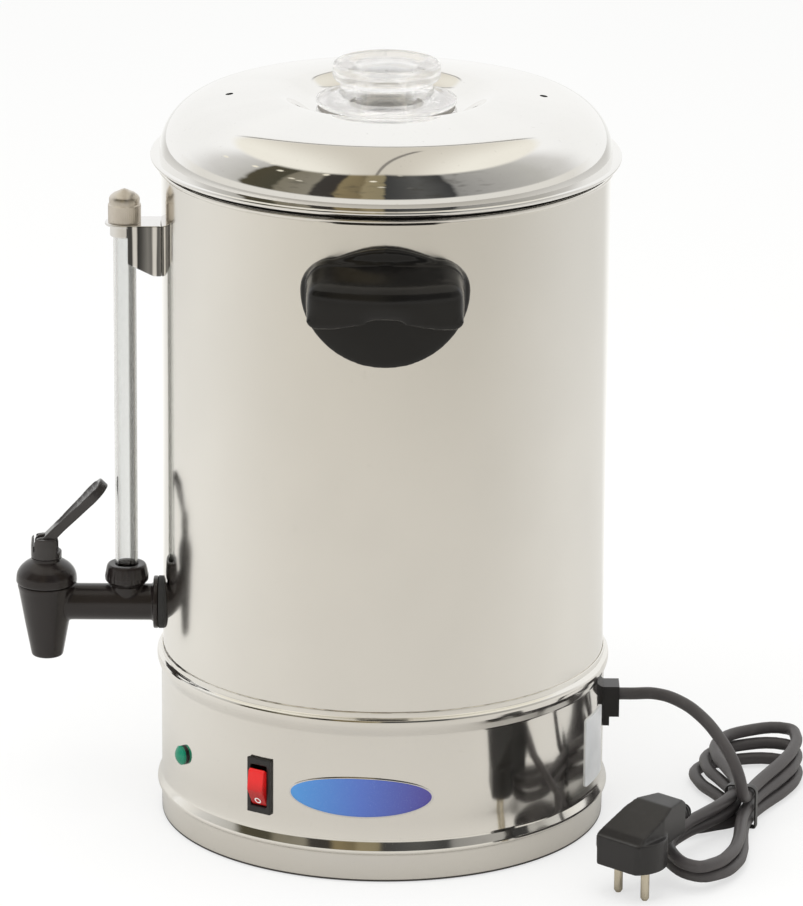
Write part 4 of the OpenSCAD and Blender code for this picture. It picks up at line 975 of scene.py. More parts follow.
@dataclass
class Studio:
    """Camera, pale floor, soft light and what bright metal mirrors."""

    distance: float = 3.288
    height: float = 1.237
    pitch: float = math.radians(17.34)
    yaw: float = math.radians(0.17)
    roll: float = math.radians(0.43)
    lens: float = 242.8
    near: Colour = (0.60, 0.58, 0.55)
    far: Colour = (0.50, 0.475, 0.43)
    aside: Colour = (0.72, 0.71, 0.69)
    span: float = 2.2
    room: Tuple[Tuple[float, Colour], ...] = (
        (-2.2, (0.95, 0.95, 0.94)), (-1.8, (0.70, 0.69, 0.67)), (-1.4, (0.52, 0.51, 0.48)),
        (-1.34, (0.08, 0.07, 0.045)), (-1.05, (0.07, 0.065, 0.045)), (-1.0, (0.22, 0.20, 0.15)),
        (-0.70, (0.26, 0.24, 0.19)), (-0.66, (0.05, 0.045, 0.04)), (-0.47, (0.045, 0.04, 0.035)),
        (-0.44, (0.25, 0.20, 0.11)), (-0.24, (0.20, 0.16, 0.09)), (-0.21, (0.30, 0.25, 0.15)),
        (-0.03, (0.27, 0.23, 0.14)), (0.0, (0.05, 0.05, 0.05)), (0.32, (0.10, 0.10, 0.095)),
        (0.60, (0.05, 0.05, 0.05)), (0.66, (0.30, 0.295, 0.28)), (1.0, (0.40, 0.39, 0.37)),
        (1.5, (0.52, 0.51, 0.48)), (1.9, (0.72, 0.71, 0.69)), (2.2, (0.95, 0.95, 0.94)),
    )

    def camera(self) -> None:
        """Sets the camera at the photograph's place."""
        cy, sy = math.cos(self.yaw), math.sin(self.yaw)
        cp, sp = math.cos(self.pitch), math.sin(self.pitch)
        ahead = Vector((-cy * cp, sy * cp, -sp))
        right = Vector((sy, cy, 0.0))
        up = right.cross(ahead)
        cr, sr = math.cos(self.roll), math.sin(self.roll)
        side, top = cr * right + sr * up, cr * up - sr * right
        data = bpy.data.cameras.new("camera")
        data.lens = self.lens
        data.clip_end = 50.0
        camera = bpy.data.objects.new("camera", data)
        bpy.context.scene.collection.objects.link(camera)
        turn = Matrix((side, top, -ahead)).transposed().to_4x4()
        camera.matrix_world = Matrix.Translation((self.distance, 0.0, self.height)) @ turn
        bpy.context.scene.camera = camera

    def _room(self, graph: Graph) -> Wire:
        """The room that bright metal mirrors: dim behind the camera, cream overhead, white at the back.

        Args:
            graph: The world's tree.

        Returns:
            Its colour.
        """
        x, y, z = graph.parts(graph.add("ShaderNodeTexCoord", out="Generated"))
        around = y.angle(x)
        ripple = graph.noise(graph.joined(around * 5.0, z * 7.0, 0.0), 1.0, 3.0)
        stops = [(0.5 + 0.5 * at / self.span, tone) for at, tone in self.room]
        stalls = graph.ramp(around + 0.12 * (ripple - 0.5), -self.span, self.span, stops)
        clutter = ripple.step(0.5, 0.75) * (1.0 - around.size().step(0.8, 1.25))
        blocks = graph.mix(clutter * 0.5, stalls, (0.06, 0.055, 0.045))
        spread = graph.joined(around * 2.3, z * 4.6, 0.0)
        specks = graph.add(
            "ShaderNodeTexVoronoi",
            {"voronoi_dimensions": "2D"},
            {"Vector": spread, "Scale": 1.0},
            "Distance",
        )
        lights = (1.0 - specks.step(0.05, 0.12)) * (0.3 - around).step(0.0, 0.3) * z.step(0.45, 0.6)
        sides = graph.mix(lights * 0.9, blocks, (1.0, 0.94, 0.78))
        cream = graph.mix(y.size().step(0.05, 0.5), (0.66, 0.62, 0.54), (0.94, 0.91, 0.82))
        backdrop = (0.0 - x).step(0.60, 0.72)
        beam = 1.0 - (x + 0.66).size().step(0.008, 0.02)
        cable = (1.0 - (y - 0.02 + 0.16 * x).size().step(0.006, 0.016)) * (x + 0.5).step(0.0, 0.1)
        overhead = graph.mix(backdrop, cream, (1.0, 1.0, 0.99))
        lined = graph.mix(beam.most(cable) * 0.75, overhead, (0.12, 0.11, 0.10))
        low = graph.mix(z.step(0.09, 0.14), (0.80, 0.78, 0.73), sides)
        wall = graph.mix(around.size().step(1.8, 2.3), low, (1.0, 1.0, 0.99))
        return graph.mix((z + 0.07 * around.size() - 0.86).step(-0.03, 0.03), wall, lined)

    def world(self) -> None:
        """White surroundings, and a room for what bright metal mirrors."""
        world = bpy.data.worlds.new("studio")
        bpy.context.scene.world = world
        world.use_nodes = True
        graph = Graph(world.node_tree)
        mirrored = graph.ray("Glossy")
        seen = graph.ray("Camera")
        through = graph.ray("Transmission")
        soft = graph.mix(mirrored, (0.88, 0.88, 0.87), self._room(graph))
        colour = graph.mix(seen.most(through), soft, (1.0, 1.0, 1.0))
        back = graph.add("ShaderNodeBackground", {}, {"Color": colour, "Strength": 1.0})
        graph.add("ShaderNodeOutputWorld", {}, {"Surface": back})

    def floor(self) -> None:
        """Pale floor that keeps the urn's shadow; metal mirrors it warmer toward the camera."""
        bm = bmesh.new()
        bmesh.ops.create_circle(bm, cap_ends=True, segments=96, radius=6.0)
        obj = Form.from_bmesh("floor", bm)
        material = bpy.data.materials.new("pale_floor")
        material.use_nodes = True
        graph = Graph(material.node_tree)
        place = graph.place()
        x, y, _ = graph.parts(place)
        cloud = graph.noise(place, 3.0, 3.0)
        pale = graph.mix(cloud * 0.3, (0.90, 0.90, 0.89), (0.88, 0.88, 0.87))
        reach = (x * x + y * y) ** 0.5
        ahead = (x / reach).step(-0.5, 1.0)
        warm = graph.mix(reach.step(0.2, 1.6), self.near, self.far)
        mirrored = graph.ray("Glossy")
        behind = (0.0 - x / reach).step(0.80, 0.97)
        near = graph.mix(behind, graph.mix(ahead, self.aside, warm), (0.95, 0.95, 0.94))
        tone = graph.mix(mirrored, pale, near)
        matte = graph.add("ShaderNodeBsdfDiffuse", {}, {"Color": tone})
        glow = graph.add("ShaderNodeEmission", {}, {"Color": (1.0, 1.0, 1.0, 1.0), "Strength": 1.0})
        seen = graph.ray("Camera")
        mixed = graph.add("ShaderNodeMixShader", {}, {0: seen * 0.62, 1: matte, 2: glow})
        graph.add("ShaderNodeOutputMaterial", {}, {"Surface": mixed})
        obj.data.materials.append(material)

    def lamps(self) -> None:
        """Two large soft lamps, above and to the left, that no metal mirrors."""
        for name, place, size, power in (
            ("top_lamp", (0.6, -0.2, 2.6), 2.2, 26.0),
            ("left_lamp", (1.4, -2.4, 1.5), 1.6, 18.0),
        ):
            data = bpy.data.lights.new(name, "AREA")
            data.shape = "DISK"
            data.size = size
            data.energy = power
            lamp = bpy.data.objects.new(name, data)
            lamp.location = place
            lamp.rotation_mode = "QUATERNION"
            lamp.rotation_quaternion = (Vector((0, 0, 0.2)) - Vector(place)).to_track_quat("-Z", "Y")
            lamp.visible_glossy = False
            bpy.context.scene.collection.objects.link(lamp)

    def build(self) -> None:
        """Sets up everything but the urn."""
        self.camera()
        self.world()
        self.floor()
        self.lamps()


@dataclass
class MainsCord:
    """Cord with its hank, tie and plug, along the route of the part's source."""

    diameter: float = 7.0
    gland_face: float = 134.85
    exit_z: float = 67.5
    waist: Point3 = (34.0, 204.0, 0.0)
    turned: float = math.radians(-17.0)
    half: float = 117.0
    lane: float = 3.95
    swells: Tuple[float, float, float, float] = (36.0, 22.0, 20.0, 60.0)
    first: float = 0.76
    grow: float = 0.14
    shrink: float = 0.05
    tight: int = 6
    low: float = 4.65
    rise: float = 7.7
    quarters: Tuple[int, int] = (2, 12)
    angles: Tuple[float, ...] = (0.0, 5.0, 12.0, 20.0, 30.0, 45.0, 65.0)
    stub: float = 7.0 / 3
    plug: Point2 = (143.0, 138.0)
    plug_turned: float = math.radians(-42.0)
    boss: float = 36.0
    boss_z: float = 37.6
    relief_r: float = 6.4
    relief_sink: float = 1.0
    relief_rings: int = 25
    relief_step: float = 0.45
    relief_taper: float = 0.1
    relief_notch: float = 0.9
    relief_rib: int = 6
    relief_sides: int = 32
    lead: Tuple[Point3, ...] = (
        (6, 156, 69.6), (16, 169, 68.6), (28, 180.5, 64), (41, 190, 56.5),
        (50.5, 197, 47.5), (55, 201, 38.5), (53, 203, 30), (48, 204.2, 24),
    )
    tail: Tuple[Point3, ...] = ((14, -11, 4.7), (27, -23, 6), (41, -31, 13), (55, -33, 23), (68, -28, 32))

    def _put(self, u: float, v: float, z: float) -> Vector:
        """Point of the hank's own frame in the urn's frame."""
        c, s = math.cos(self.turned), math.sin(self.turned)
        return Vector((self.waist[0] + u * c - v * s, self.waist[1] + u * s + v * c, z))

    def _loop(self, quarter: int, past: float) -> Vector:
        """Point of the hank.

        Args:
            quarter: Quarter turns that lie behind it.
            past: Degrees since then.

        Returns:
            The point in millimetres.
        """
        turns = (90 * quarter + past) / 360
        c, s = math.cos(2 * math.pi * turns), math.sin(2 * math.pi * turns)
        wide = self.swells[quarter % 4] * (self.first + self.grow * turns)
        drops = [(1 - math.cos(math.pi * share(2 * (turns - k)))) / 2 for k in (1, 2)]
        return self._put(
            self.half * (1 - self.shrink * turns) * s,
            -c * (wide - (wide - self.lane) * c ** self.tight),
            self.low + self.rise * (2 - sum(drops)),
        )

    def _plug_end(self) -> Tuple[Vector, Vector]:
        """The plug's middle at the cord's height, and the way from there to the cord."""
        back = Vector((-math.cos(self.plug_turned), -math.sin(self.plug_turned), 0.0))
        return Vector((*self.plug, self.boss_z)), back

    def route(self) -> List[Vector]:
        """The cord's own line from the gland to the plug.

        Returns:
            Its points in millimetres.
        """
        loops = []
        for quarter in range(*self.quarters):
            backward = [0.0] + [90 - a for a in self.angles[:0:-1]]
            loops += [self._loop(quarter, a) for a in (backward if quarter % 2 else self.angles)]
        loops.append(self._loop(self.quarters[1], 0.0))
        first = (loops[1] - loops[0]).normalized() * self.stub
        last = (loops[-1] - loops[-2]).normalized() * self.stub
        foot, back = self._plug_end()
        return [
            Vector((0, self.gland_face, self.exit_z)),
            Vector((0, self.gland_face + self.diameter, self.exit_z)),
            *[Vector(p) for p in self.lead],
            loops[0] - 2 * first,
            *loops,
            loops[-1] + 2 * last,
            *[self._put(*p) for p in self.tail],
            foot + (self.boss + self.diameter) * back,
            foot + self.boss * back,
        ]

    def build(self) -> None:
        """Lays the cord, its tie and its plug."""
        points = [p * MM for p in self.route()]
        curve = bpy.data.curves.new("mains_cord", "CURVE")
        curve.dimensions = "3D"
        curve.bevel_depth = self.diameter / 2 * MM
        curve.bevel_resolution = 5
        curve.resolution_u = 5
        curve.use_fill_caps = True
        spline = curve.splines.new("BEZIER")
        spline.bezier_points.add(len(points) - 1)
        for place, p in zip(spline.bezier_points, points):
            place.co = p
            place.handle_left_type = place.handle_right_type = "AUTO"
        cord = bpy.data.objects.new("mains_cord", curve)
        bpy.context.scene.collection.objects.link(cord)
        Form.hang(cord, Body.URN, CORD, "cord_black", "cord_lead", "cord_hank", "cord_tail")
        tie = self.tie()
        plug = self.plug_pieces()

    @staticmethod
    def _length(curve: bpy.types.Curve) -> float:
        """Length of a curve's spline in metres."""
        return round(curve.splines[0].calc_length(), 3)

    def tie(self) -> Piece:
        """Band round the waist of the hank, with a twisted end."""
        obj = Form.moulded("cord_tie_band", "cord_tie", 0.35, 2)
        return Form.hang(obj, Body.URN, DULL_BLACK, "dull_black", "cord_tie")

    def _relief(self) -> Piece:
        """Ribbed strain relief where the cord leaves the plug.

        Returns:
            The piece.
        """
        foot, back = self._plug_end()
        side = Vector((-back.y, back.x, 0.0))
        up = Vector((0.0, 0.0, 1.0))
        turn = [2 * math.pi * k / self.relief_sides for k in range(self.relief_sides)]
        rings = []
        for i in range(self.relief_rings):
            notch = self.relief_notch if i % self.relief_rib >= self.relief_rib / 2 else 0.0
            radius = self.relief_r - self.relief_taper * i - notch
            middle = foot + back * (self.boss - self.relief_sink + self.relief_step * i)
            rings.append([(middle + radius * (math.cos(a) * side + math.sin(a) * up)) * MM for a in turn])
        relief = Form.skin("plug_relief", rings)
        return Form.hang(relief, Body.URN, PLUG_BLACK, "dull_black")

    def plug_pieces(self) -> List[Piece]:
        """Plug body, strain relief and pins.

        Returns:
            The pieces on the cord's end.
        """
        body = Form.moulded("plug_moulding", "plug_body", 0.6, 5)
        Form.hang(body, Body.URN, PLUG_BLACK, "dull_black", "plug_body")
        return [body, self._relief(), frame["nodes"]["plug_pins"]]


@dataclass
class Vessel:
    """Shell, base skirt and their rolled edges."""

    body_r: float = 125.0
    wall: float = 0.8
    skirt_in: float = 125.05
    skirt_t: float = 0.8
    hem: float = 0.6
    top: float = 100.0
    rim: float = 382.7
    rim_r: float = 1.6
    rim_sink: float = 3.4
    lap: float = 9.0
    low_bead_z: float = 18.0
    low_bead: Tuple[Point2, ...] = (
        (0.3, -3.2), (0.4, -2.0), (0.9, -1.2), (2.2, -0.5), (2.5, 0.3), (2.2, 1.6), (1.4, 3.4),
        (0.5, 5.6), (0.0, 7.4),
    )
    top_bead_z: float = 91.5
    top_bead: Tuple[Point2, ...] = (
        (0.0, -6.4), (0.2, -5.2), (0.9, -3.5), (1.7, -1.5), (2.3, 0.5), (2.45, 2.4), (2.35, 3.4),
        (1.95, 4.2), (1.15, 4.8), (0.35, 5.2), (0.0, 5.6),
    )
    bead_round: float = 0.9
    edge: float = 0.4
    seam: float = 0.05
    wall_rings: Point2 = (200.0, 300.0)
    controls: float = 50.0
    control_rows: Tuple[float, ...] = (-14.0, -4.0, 4.0, 14.0)
    inner_top: float = 88.0
    ledge_r: float = 113.05
    ledge_z: Point2 = (5.0, 5.8)
    switch_a: float = math.radians(-32.4)
    window_half: Point2 = (6.95, 14.25)
    window_round: float = 0.8
    lamp_a: float = math.radians(-62.4)
    lamp_r: float = 4.25
    through: Point2 = (110.0, 140.0)

    def shell(self) -> None:
        """Vessel wall with its rolled rim."""
        inner, outer = self.body_r - self.wall, self.body_r
        neck = self.rim - self.rim_sink
        roll = arc(inner + self.rim_r + self.seam, neck, self.rim_r, self.rim_r, -60, 180, 14)
        low = self.top - self.lap
        line = [(outer, low), *[(outer, z) for z in self.wall_rings], (outer, neck - 1.5 * self.rim_r)]
        line += [*roll, *[(inner, z) for z in reversed(self.wall_rings)], (inner, low)]
        obj = Form.turn("vessel_shell", line, sides=256)
        Form.hang(obj, Body.URN, STEEL_WALL, "vessel_steel", "body_shell")

    def _bead(self, z: float, radius: float, points: Sequence[Point2]) -> Line2:
        """Section of a pressed bead, whose points say how far it stands out and how high."""
        return rounded([(radius + out, z + up) for out, up in points], self.bead_round, 4, False)

    def skirt(self) -> None:
        """Base skirt with two pressed beads and a window for each control."""
        inner, outer = self.skirt_in, self.skirt_in + self.skirt_t
        rows = [self.controls + z for z in self.control_rows]
        edge = self.edge
        line: Line2 = [(outer - edge, self.hem), *arc(outer - edge, self.hem + edge, edge, edge, -80, 0, 3)]
        line += self._bead(self.low_bead_z, outer, self.low_bead)
        line += [(outer, z) for z in rows]
        line += self._bead(self.top_bead_z, outer, self.top_bead)
        line += arc(outer - edge, self.top - edge, edge, edge, 0, 180, 6)
        low, high = self.ledge_z
        line += [(inner, z) for z in (self.inner_top, *reversed(rows), high)]
        line += [(self.ledge_r, high), (self.ledge_r, low), (inner, low), (inner, self.hem)]
        obj = Form.turn("base_skirt_sheet", line, sides=360)
        lift = Matrix.Translation((0.0, 0.0, self.controls))
        out = Matrix(((0, 0, 1, 0), (1, 0, 0, 0), (0, 1, 0, 0), (0, 0, 0, 1)))
        w, h = self.window_half
        window = rounded([(-w, -h), (w, -h), (w, h), (-w, h)], self.window_round)
        hole = arc(0.0, 0.0, self.lamp_r, self.lamp_r, 0.0, 350.0, 35)
        for outline, a in ((window, self.switch_a), (hole, self.lamp_a)):
            Form.cut(obj, outline, lift @ Matrix.Rotation(a, 4, "Z") @ out, *self.through)
        Form.hang(obj, Body.URN, STEEL_BASE, "vessel_steel", "base_skirt")

    def build(self) -> None:
        """Makes the sheet pieces."""
        self.shell()
        self.skirt()


@dataclass
class Lid:
    """Domed lid, its clear knob and its vents."""

    rim: float = 382.7
    bottom: float = 383.0
    hem_r: float = 1.5
    radius: float = 131.0
    flange: float = 3.5
    sheet: float = 0.8
    shoulder_w: float = 32.0
    shoulder_h: float = 30.5
    crown: float = 3.5
    ridge_r: float = 62.0
    dish: float = 7.7
    dish_r: float = 42.0
    spigot_r: float = 21.0
    ring_r: float = 123.6
    ring_h: float = 8.0
    vent_at: float = 87.0
    vent_r: float = 2.2
    vent_cut: Point2 = (395.0, 440.0)
    rise: float = 1.5
    gap: float = 0.3
    dish_rings: Point2 = (36.0, 30.0)
    crown_steps: int = 8
    dish_steps: int = 10
    knob_lift: float = 1.25
    knob_h: float = 25.0
    disc_h: float = 9.0
    disc_r: float = 30.0
    foot_r: float = 39.0
    bore_r: float = 17.0
    spigot_l: float = 8.0

    def _top(self, sink: float) -> Line2:
        """Line of the lid's skin from the hem to the spigot hole.

        Args:
            sink: How far under the outer face.

        Returns:
            Radii and heights.
        """
        out = self.radius - self.hem_r - self.flange
        centre = out - self.shoulder_w
        base = self.bottom + self.hem_r + self.rise
        high = base + self.shoulder_h
        ridge = high + self.crown
        dish = ridge - self.dish
        line = [(out - sink, self.bottom + self.hem_r)]
        line += arc(centre, base, self.shoulder_w - sink, self.shoulder_h - sink, 0, 84, 26)
        crown_from = line[-1]
        for i in range(1, self.crown_steps + 1):
            t = i / self.crown_steps
            r = crown_from[0] + (self.ridge_r - crown_from[0]) * t
            rise = crown_from[1] + (ridge - sink - crown_from[1]) * math.sin(math.pi / 2 * t)
            line.append((r, rise))
        for i in range(1, self.dish_steps + 1):
            t = i / self.dish_steps
            r = self.ridge_r + (self.dish_r - self.ridge_r) * t
            line.append((r, ridge - sink - self.dish * 0.5 * (1 - math.cos(math.pi * t))))
        return line + [(r, dish - sink) for r in (*self.dish_rings, self.spigot_r + self.gap)]

    def cover(self) -> None:
        """The lid's sheet with its hem and locating ring."""
        hem = arc(self.radius - self.hem_r, self.bottom + self.hem_r, self.hem_r, self.hem_r, -150, 100, 12)
        under = self._top(self.sheet)[::-1]
        inner = self.ring_r - self.sheet
        seat = [p for p in under if p[0] < inner]
        outer = [p for p in under if p[0] >= self.ring_r]
        z = 0.5 * (seat[-1][1] + outer[0][1])
        low = self.rim - self.ring_h
        ring = [(inner, z), (inner, low), (self.ring_r, low), (self.ring_r, z - self.gap)]
        line = hem + self._top(0.0)[1:] + seat + ring + outer[:-1]
        obj = Form.turn("lid_cover", line, sides=384)
        for side in (-1.0, 1.0):
            hole = arc(0.0, side * self.vent_at, self.vent_r, self.vent_r, 0.0, 350.0, 35)
            Form.cut(obj, hole, Matrix.Identity(4), *self.vent_cut)
        Form.hang(obj, Body.LID, STEEL_LID, "vessel_steel", "lid")

    def knob(self) -> None:
        """Clear turned knob with a flared foot and a dished top disc."""
        dish = self._top(0.0)[-1][1]
        base, top = dish + self.knob_lift, dish + self.knob_h
        disc, end = top - self.disc_h, dish - self.spigot_l
        line: Line2 = [(self.bore_r, end), (self.spigot_r, end), (self.spigot_r, base)]
        line += [(self.foot_r - 1.0, base), (self.foot_r, base + 1.0)]
        line += arc(self.foot_r, disc - 3.0, 13.5, disc - 6.0 - base, 270, 185, 10)
        line += [(25.4, disc - 2.6), (27.6, disc - 1.4)]
        line += arc(27.4, disc + 1.6, 2.6, 2.6, -60, 0, 4)
        line += [(self.disc_r, disc + 3.2), (self.disc_r - 0.7, disc + 3.9), (self.disc_r, disc + 4.6)]
        line += arc(self.disc_r - 3.0, top - 3.0, 3.0, 3.0, 0, 90, 6)
        line += [(21.0, top), (18.0, top - 1.4), (0.0, top - 1.5), (0.0, top - 5.5), (19.0, top - 5.5)]
        line.append((self.bore_r, disc - 4.0))
        obj = Form.turn("knob_turning", rounded(line, 0.5, 3, False), sides=128)
        Form.hang(obj, Body.LID, KNOB_CLEAR, "clear", "lid_knob")

    def build(self) -> None:
        """Makes the lid's pieces."""
        self.cover()
        self.knob()


@dataclass
class Handles:
    """The two moulded side handles."""

    voxel: float = 1.0
    passes: int = 5
    rounds: int = 110
    plate_face: float = 131.0
    bar_low: float = 332.0
    bar_middle: float = 345.0
    groove_at: float = 1.4
    groove_half: float = 1.2
    groove_depth: float = 1.3
    root: float = 1.5
    flat: float = 0.2
    steep: float = 0.75

    def _bar(self, p: Vector) -> bool:
        """Whether a point lies on the bar, clear of the plate and of the bar's open foot."""
        return abs(p.x) > self.plate_face + self.root and p.z > self.bar_low

    def _groove(self, p: Vector, normal: Vector) -> Vector:
        """Presses a shadow line into the bar's root.

        Args:
            p: A point in millimetres.
            normal: Its normal.

        Returns:
            Where it goes.
        """
        deep = 1.0 - abs(abs(p.x) - self.plate_face - self.groove_at) / self.groove_half
        outward = normal.dot(Vector((0.0, p.y * self.flat, p.z - self.bar_middle)))
        if deep <= 0.0 or outward <= 0.0 or abs(normal.x) > self.steep:
            return p
        return p - self.groove_depth * deep * normal

    def build(self) -> None:
        """Makes both handles."""
        for name, node in (("grip_right", "handle_right"), ("grip_left", "handle_left")):
            obj = Form.moulded(name, node, self.voxel, self.passes, self._groove, (self.rounds, self._bar))
            Form.hang(obj, Body.URN, GRIP, "grip_black", node)


@dataclass
class Tap:
    """Tap body, domed bonnet, spring, collar and lever."""

    y: float = -191.0
    top: float = 132.5
    bonnet_top: float = 147.5
    radius: float = 16.5
    pin_z: float = 154.608
    rest: float = math.radians(46.0)
    length: float = 50.0
    seam: float = 0.05
    neck_r: float = 11.9
    neck_h: float = 3.0
    bore_r: float = 3.1
    flat_r: float = 8.7
    pocket_r: float = 7.5
    pocket_roof: float = 7.0
    wire_r: float = 0.6
    coils: int = 6
    coil_steps: int = 24
    hollow_at: float = 11.0
    hollow_run: float = 22.0
    hollow_half: Point2 = (4.0, 8.6)
    hollow_ends: Point2 = (4.0, 3.0)
    hollow_tip: float = 2.0
    hollow_depth: float = 1.7
    upper: float = 1.5
    rib_at: float = 28.0
    rib_pitch: float = 4.2
    rib_h: float = 0.6

    def bonnet(self) -> None:
        """Domed bonnet with a stepped lower rim."""
        z0, z1 = self.top + self.seam, self.bonnet_top
        foot, roof = z0 - self.neck_h, z1 - self.pocket_roof
        line: Line2 = [(self.neck_r, foot), (self.neck_r, z0), (self.radius + 0.1, z0)]
        line += [(self.radius + 0.7, z0 + 0.8), (self.radius + 0.7, z0 + 2.2)]
        line += arc(0.0, z0 + 3.0, self.radius + 0.6, z1 - z0 - 3.0, 4, 60, 14)
        line += [(self.flat_r, z1), (self.bore_r, z1), (self.bore_r, roof)]
        line += [(self.pocket_r, roof), (self.pocket_r, foot)]
        obj = Form.turn("bonnet_dome", rounded(line, 0.3, 2), (0.0, self.y), 96)
        Form.hang(obj, Body.URN, TAP_BLACK, "tap_black", "tap_bonnet")

    def spring(self) -> None:
        """Return spring under the bonnet."""
        low, high = (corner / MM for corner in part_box("tap_spring"))
        radius = (high.x - low.x) / 2 - self.wire_r
        height = high.z - low.z - 2 * self.wire_r
        rings = []
        count = self.coil_steps * self.coils
        for i in range(count + 1):
            a = 2 * math.pi * i / self.coil_steps
            z = low.z + self.wire_r + height * i / count
            ring = arc(radius, z, self.wire_r, self.wire_r, 0.0, 315.0, 7)
            rings.append([Vector((r * math.cos(a), self.y + r * math.sin(a), h)) * MM for r, h in ring])
        obj = Form.skin("spring_coil", rings)
        Form.hang(obj, Body.URN, STEEL_INNER, "inner_steel", "tap_spring")
        lift = next(j for j in frame["joints"] if j["name"] == "stem_lift")
        keep = 1.0 - max(lift["range_m"]) / ((high.z - low.z) * MM)
        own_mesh(obj)

    def _dish(self, p: Vector, normal: Vector) -> Vector:
        """Hollows the lever's upper face along its paddle.

        Args:
            p: A point of the lever in millimetres.
            normal: The normal there.

        Returns:
            The point's new place.
        """
        c, s = math.cos(self.rest), math.sin(self.rest)
        dy, dz = p.y - self.y, p.z - self.pin_z
        along, over = dy * c + dz * s, dz * c - dy * s
        facing = normal.z * c - normal.y * s
        if along < self.hollow_at or over < self.upper:
            return p
        run = along - self.hollow_at
        neck, tip = self.hollow_half
        half = neck + (tip - neck) * share(run / self.hollow_run)
        left = self.length - self.hollow_tip - along
        ends = share(run / self.hollow_ends[0]) * share(left / self.hollow_ends[1])
        hollow = max(0.0, 1.0 - (abs(p.x) / half) ** 4) * ends * max(0.0, facing)
        wave = max(0.0, math.cos(2 * math.pi * along / self.rib_pitch))
        rib = self.rib_h * wave if along > self.rib_at else 0.0
        shift = hollow * (rib - self.hollow_depth)
        return Vector((p.x, p.y - shift * s, p.z + shift * c))

    def build(self) -> None:
        """Makes the tap's pieces."""
        body = Form.moulded("tap_moulding", "tap_body", 0.6, 5)
        Form.hang(body, Body.URN, TAP_BLACK, "tap_black", "tap_body")
        self.bonnet()
        self.spring()
        collar = Form.moulded("collar_moulding", "tap_collar", 0.35, 4)
        Form.hang(collar, Body.URN, LEVER_BLACK, "tap_black", "tap_collar")
        lever = Form.moulded("lever_moulding", "tap_lever", 0.45, 4, self._dish)
        Form.hang(lever, Body.LEVER, LEVER_BLACK, "tap_black", "tap_lever")


@dataclass
class Gauge:
    """Sight tube with its nut, cap and bracket."""

    y: float = -145.5
    foot: float = 132.0
    bracket: float = 344.7
    tube_r: float = 6.4
    seam: float = 0.05
    nut_line: Tuple[Point2, ...] = ((10.0, 0.0), (12.2, 2.6), (12.4, 5.0), (11.2, 10.8), (10.4, 11.95))
    nut_round: float = 0.9
    flutes: int = 20
    flute_depth: float = 0.35
    flute_half: float = 5.0
    cap_line: Tuple[Point2, ...] = (
        (9.0, 0.0), (9.2, 0.4), (9.2, 0.9), (9.2, 9.5), (9.2, 9.8), (8.6, 10.4), (8.6, 13.4), (7.9, 14.6),
        (6.0, 16.2), (3.4, 17.4), (1.9, 18.2), (0.0, 18.9), (0.0, 12.0),
    )
    knurls: int = 48
    knurl_depth: float = 0.14
    knurl_band: Point2 = (0.8, 9.6)

    def _line(self, z: float, points: Sequence[Point2]) -> Line2:
        """Closed section of a fitting that sits on the tube from a height."""
        bore = self.tube_r + self.seam
        return [(bore, z), *[(r, z + h) for r, h in points], (bore, z + points[-1][1])]

    def nut(self) -> None:
        """Round ribbed nut at the tube's foot."""
        z = self.foot + self.seam

        def ribs(a: float, r: float, h: float) -> float:
            """Shallow grip flutes round the nut."""
            depth = max(0.0, 1.0 - abs(h - z - self.flute_half) / self.flute_half) if r > 9.0 else 0.0
            return -self.flute_depth * depth * max(0.0, math.cos(self.flutes * a)) ** 2

        line = rounded(self._line(z, self.nut_line), self.nut_round)
        obj = Form.turn("gauge_nut_moulding", line, (0.0, self.y), 160, wobble=ribs)
        Form.hang(obj, Body.URN, TAP_BLACK, "tap_black", "gauge_nut")

    def cap(self) -> None:
        """Satin cap with a grip band, a groove and a pip."""
        z = self.bracket + self.seam
        low, high = self.knurl_band

        def knurl(a: float, r: float, h: float) -> float:
            """Fine grip lines on the lower band."""
            band = 1.0 if z + low < h < z + high and r > 8.5 else 0.0
            return -self.knurl_depth * band * (0.5 + 0.5 * math.cos(self.knurls * a))

        line = self._line(z, self.cap_line)
        obj = Form.turn("gauge_cap_turning", line, (0.0, self.y), 192, wobble=knurl)
        Form.hang(obj, Body.URN, NICKEL, "nickel", "gauge_cap")

    def build(self) -> None:
        """Makes the gauge's pieces."""
        self.nut()
        self.cap()
        bracket = Form.moulded("bracket_sheet", "gauge_bracket", 0.4, 2)
        Form.hang(bracket, Body.URN, BRACKET_REFLECTION, "chrome", "gauge_bracket")


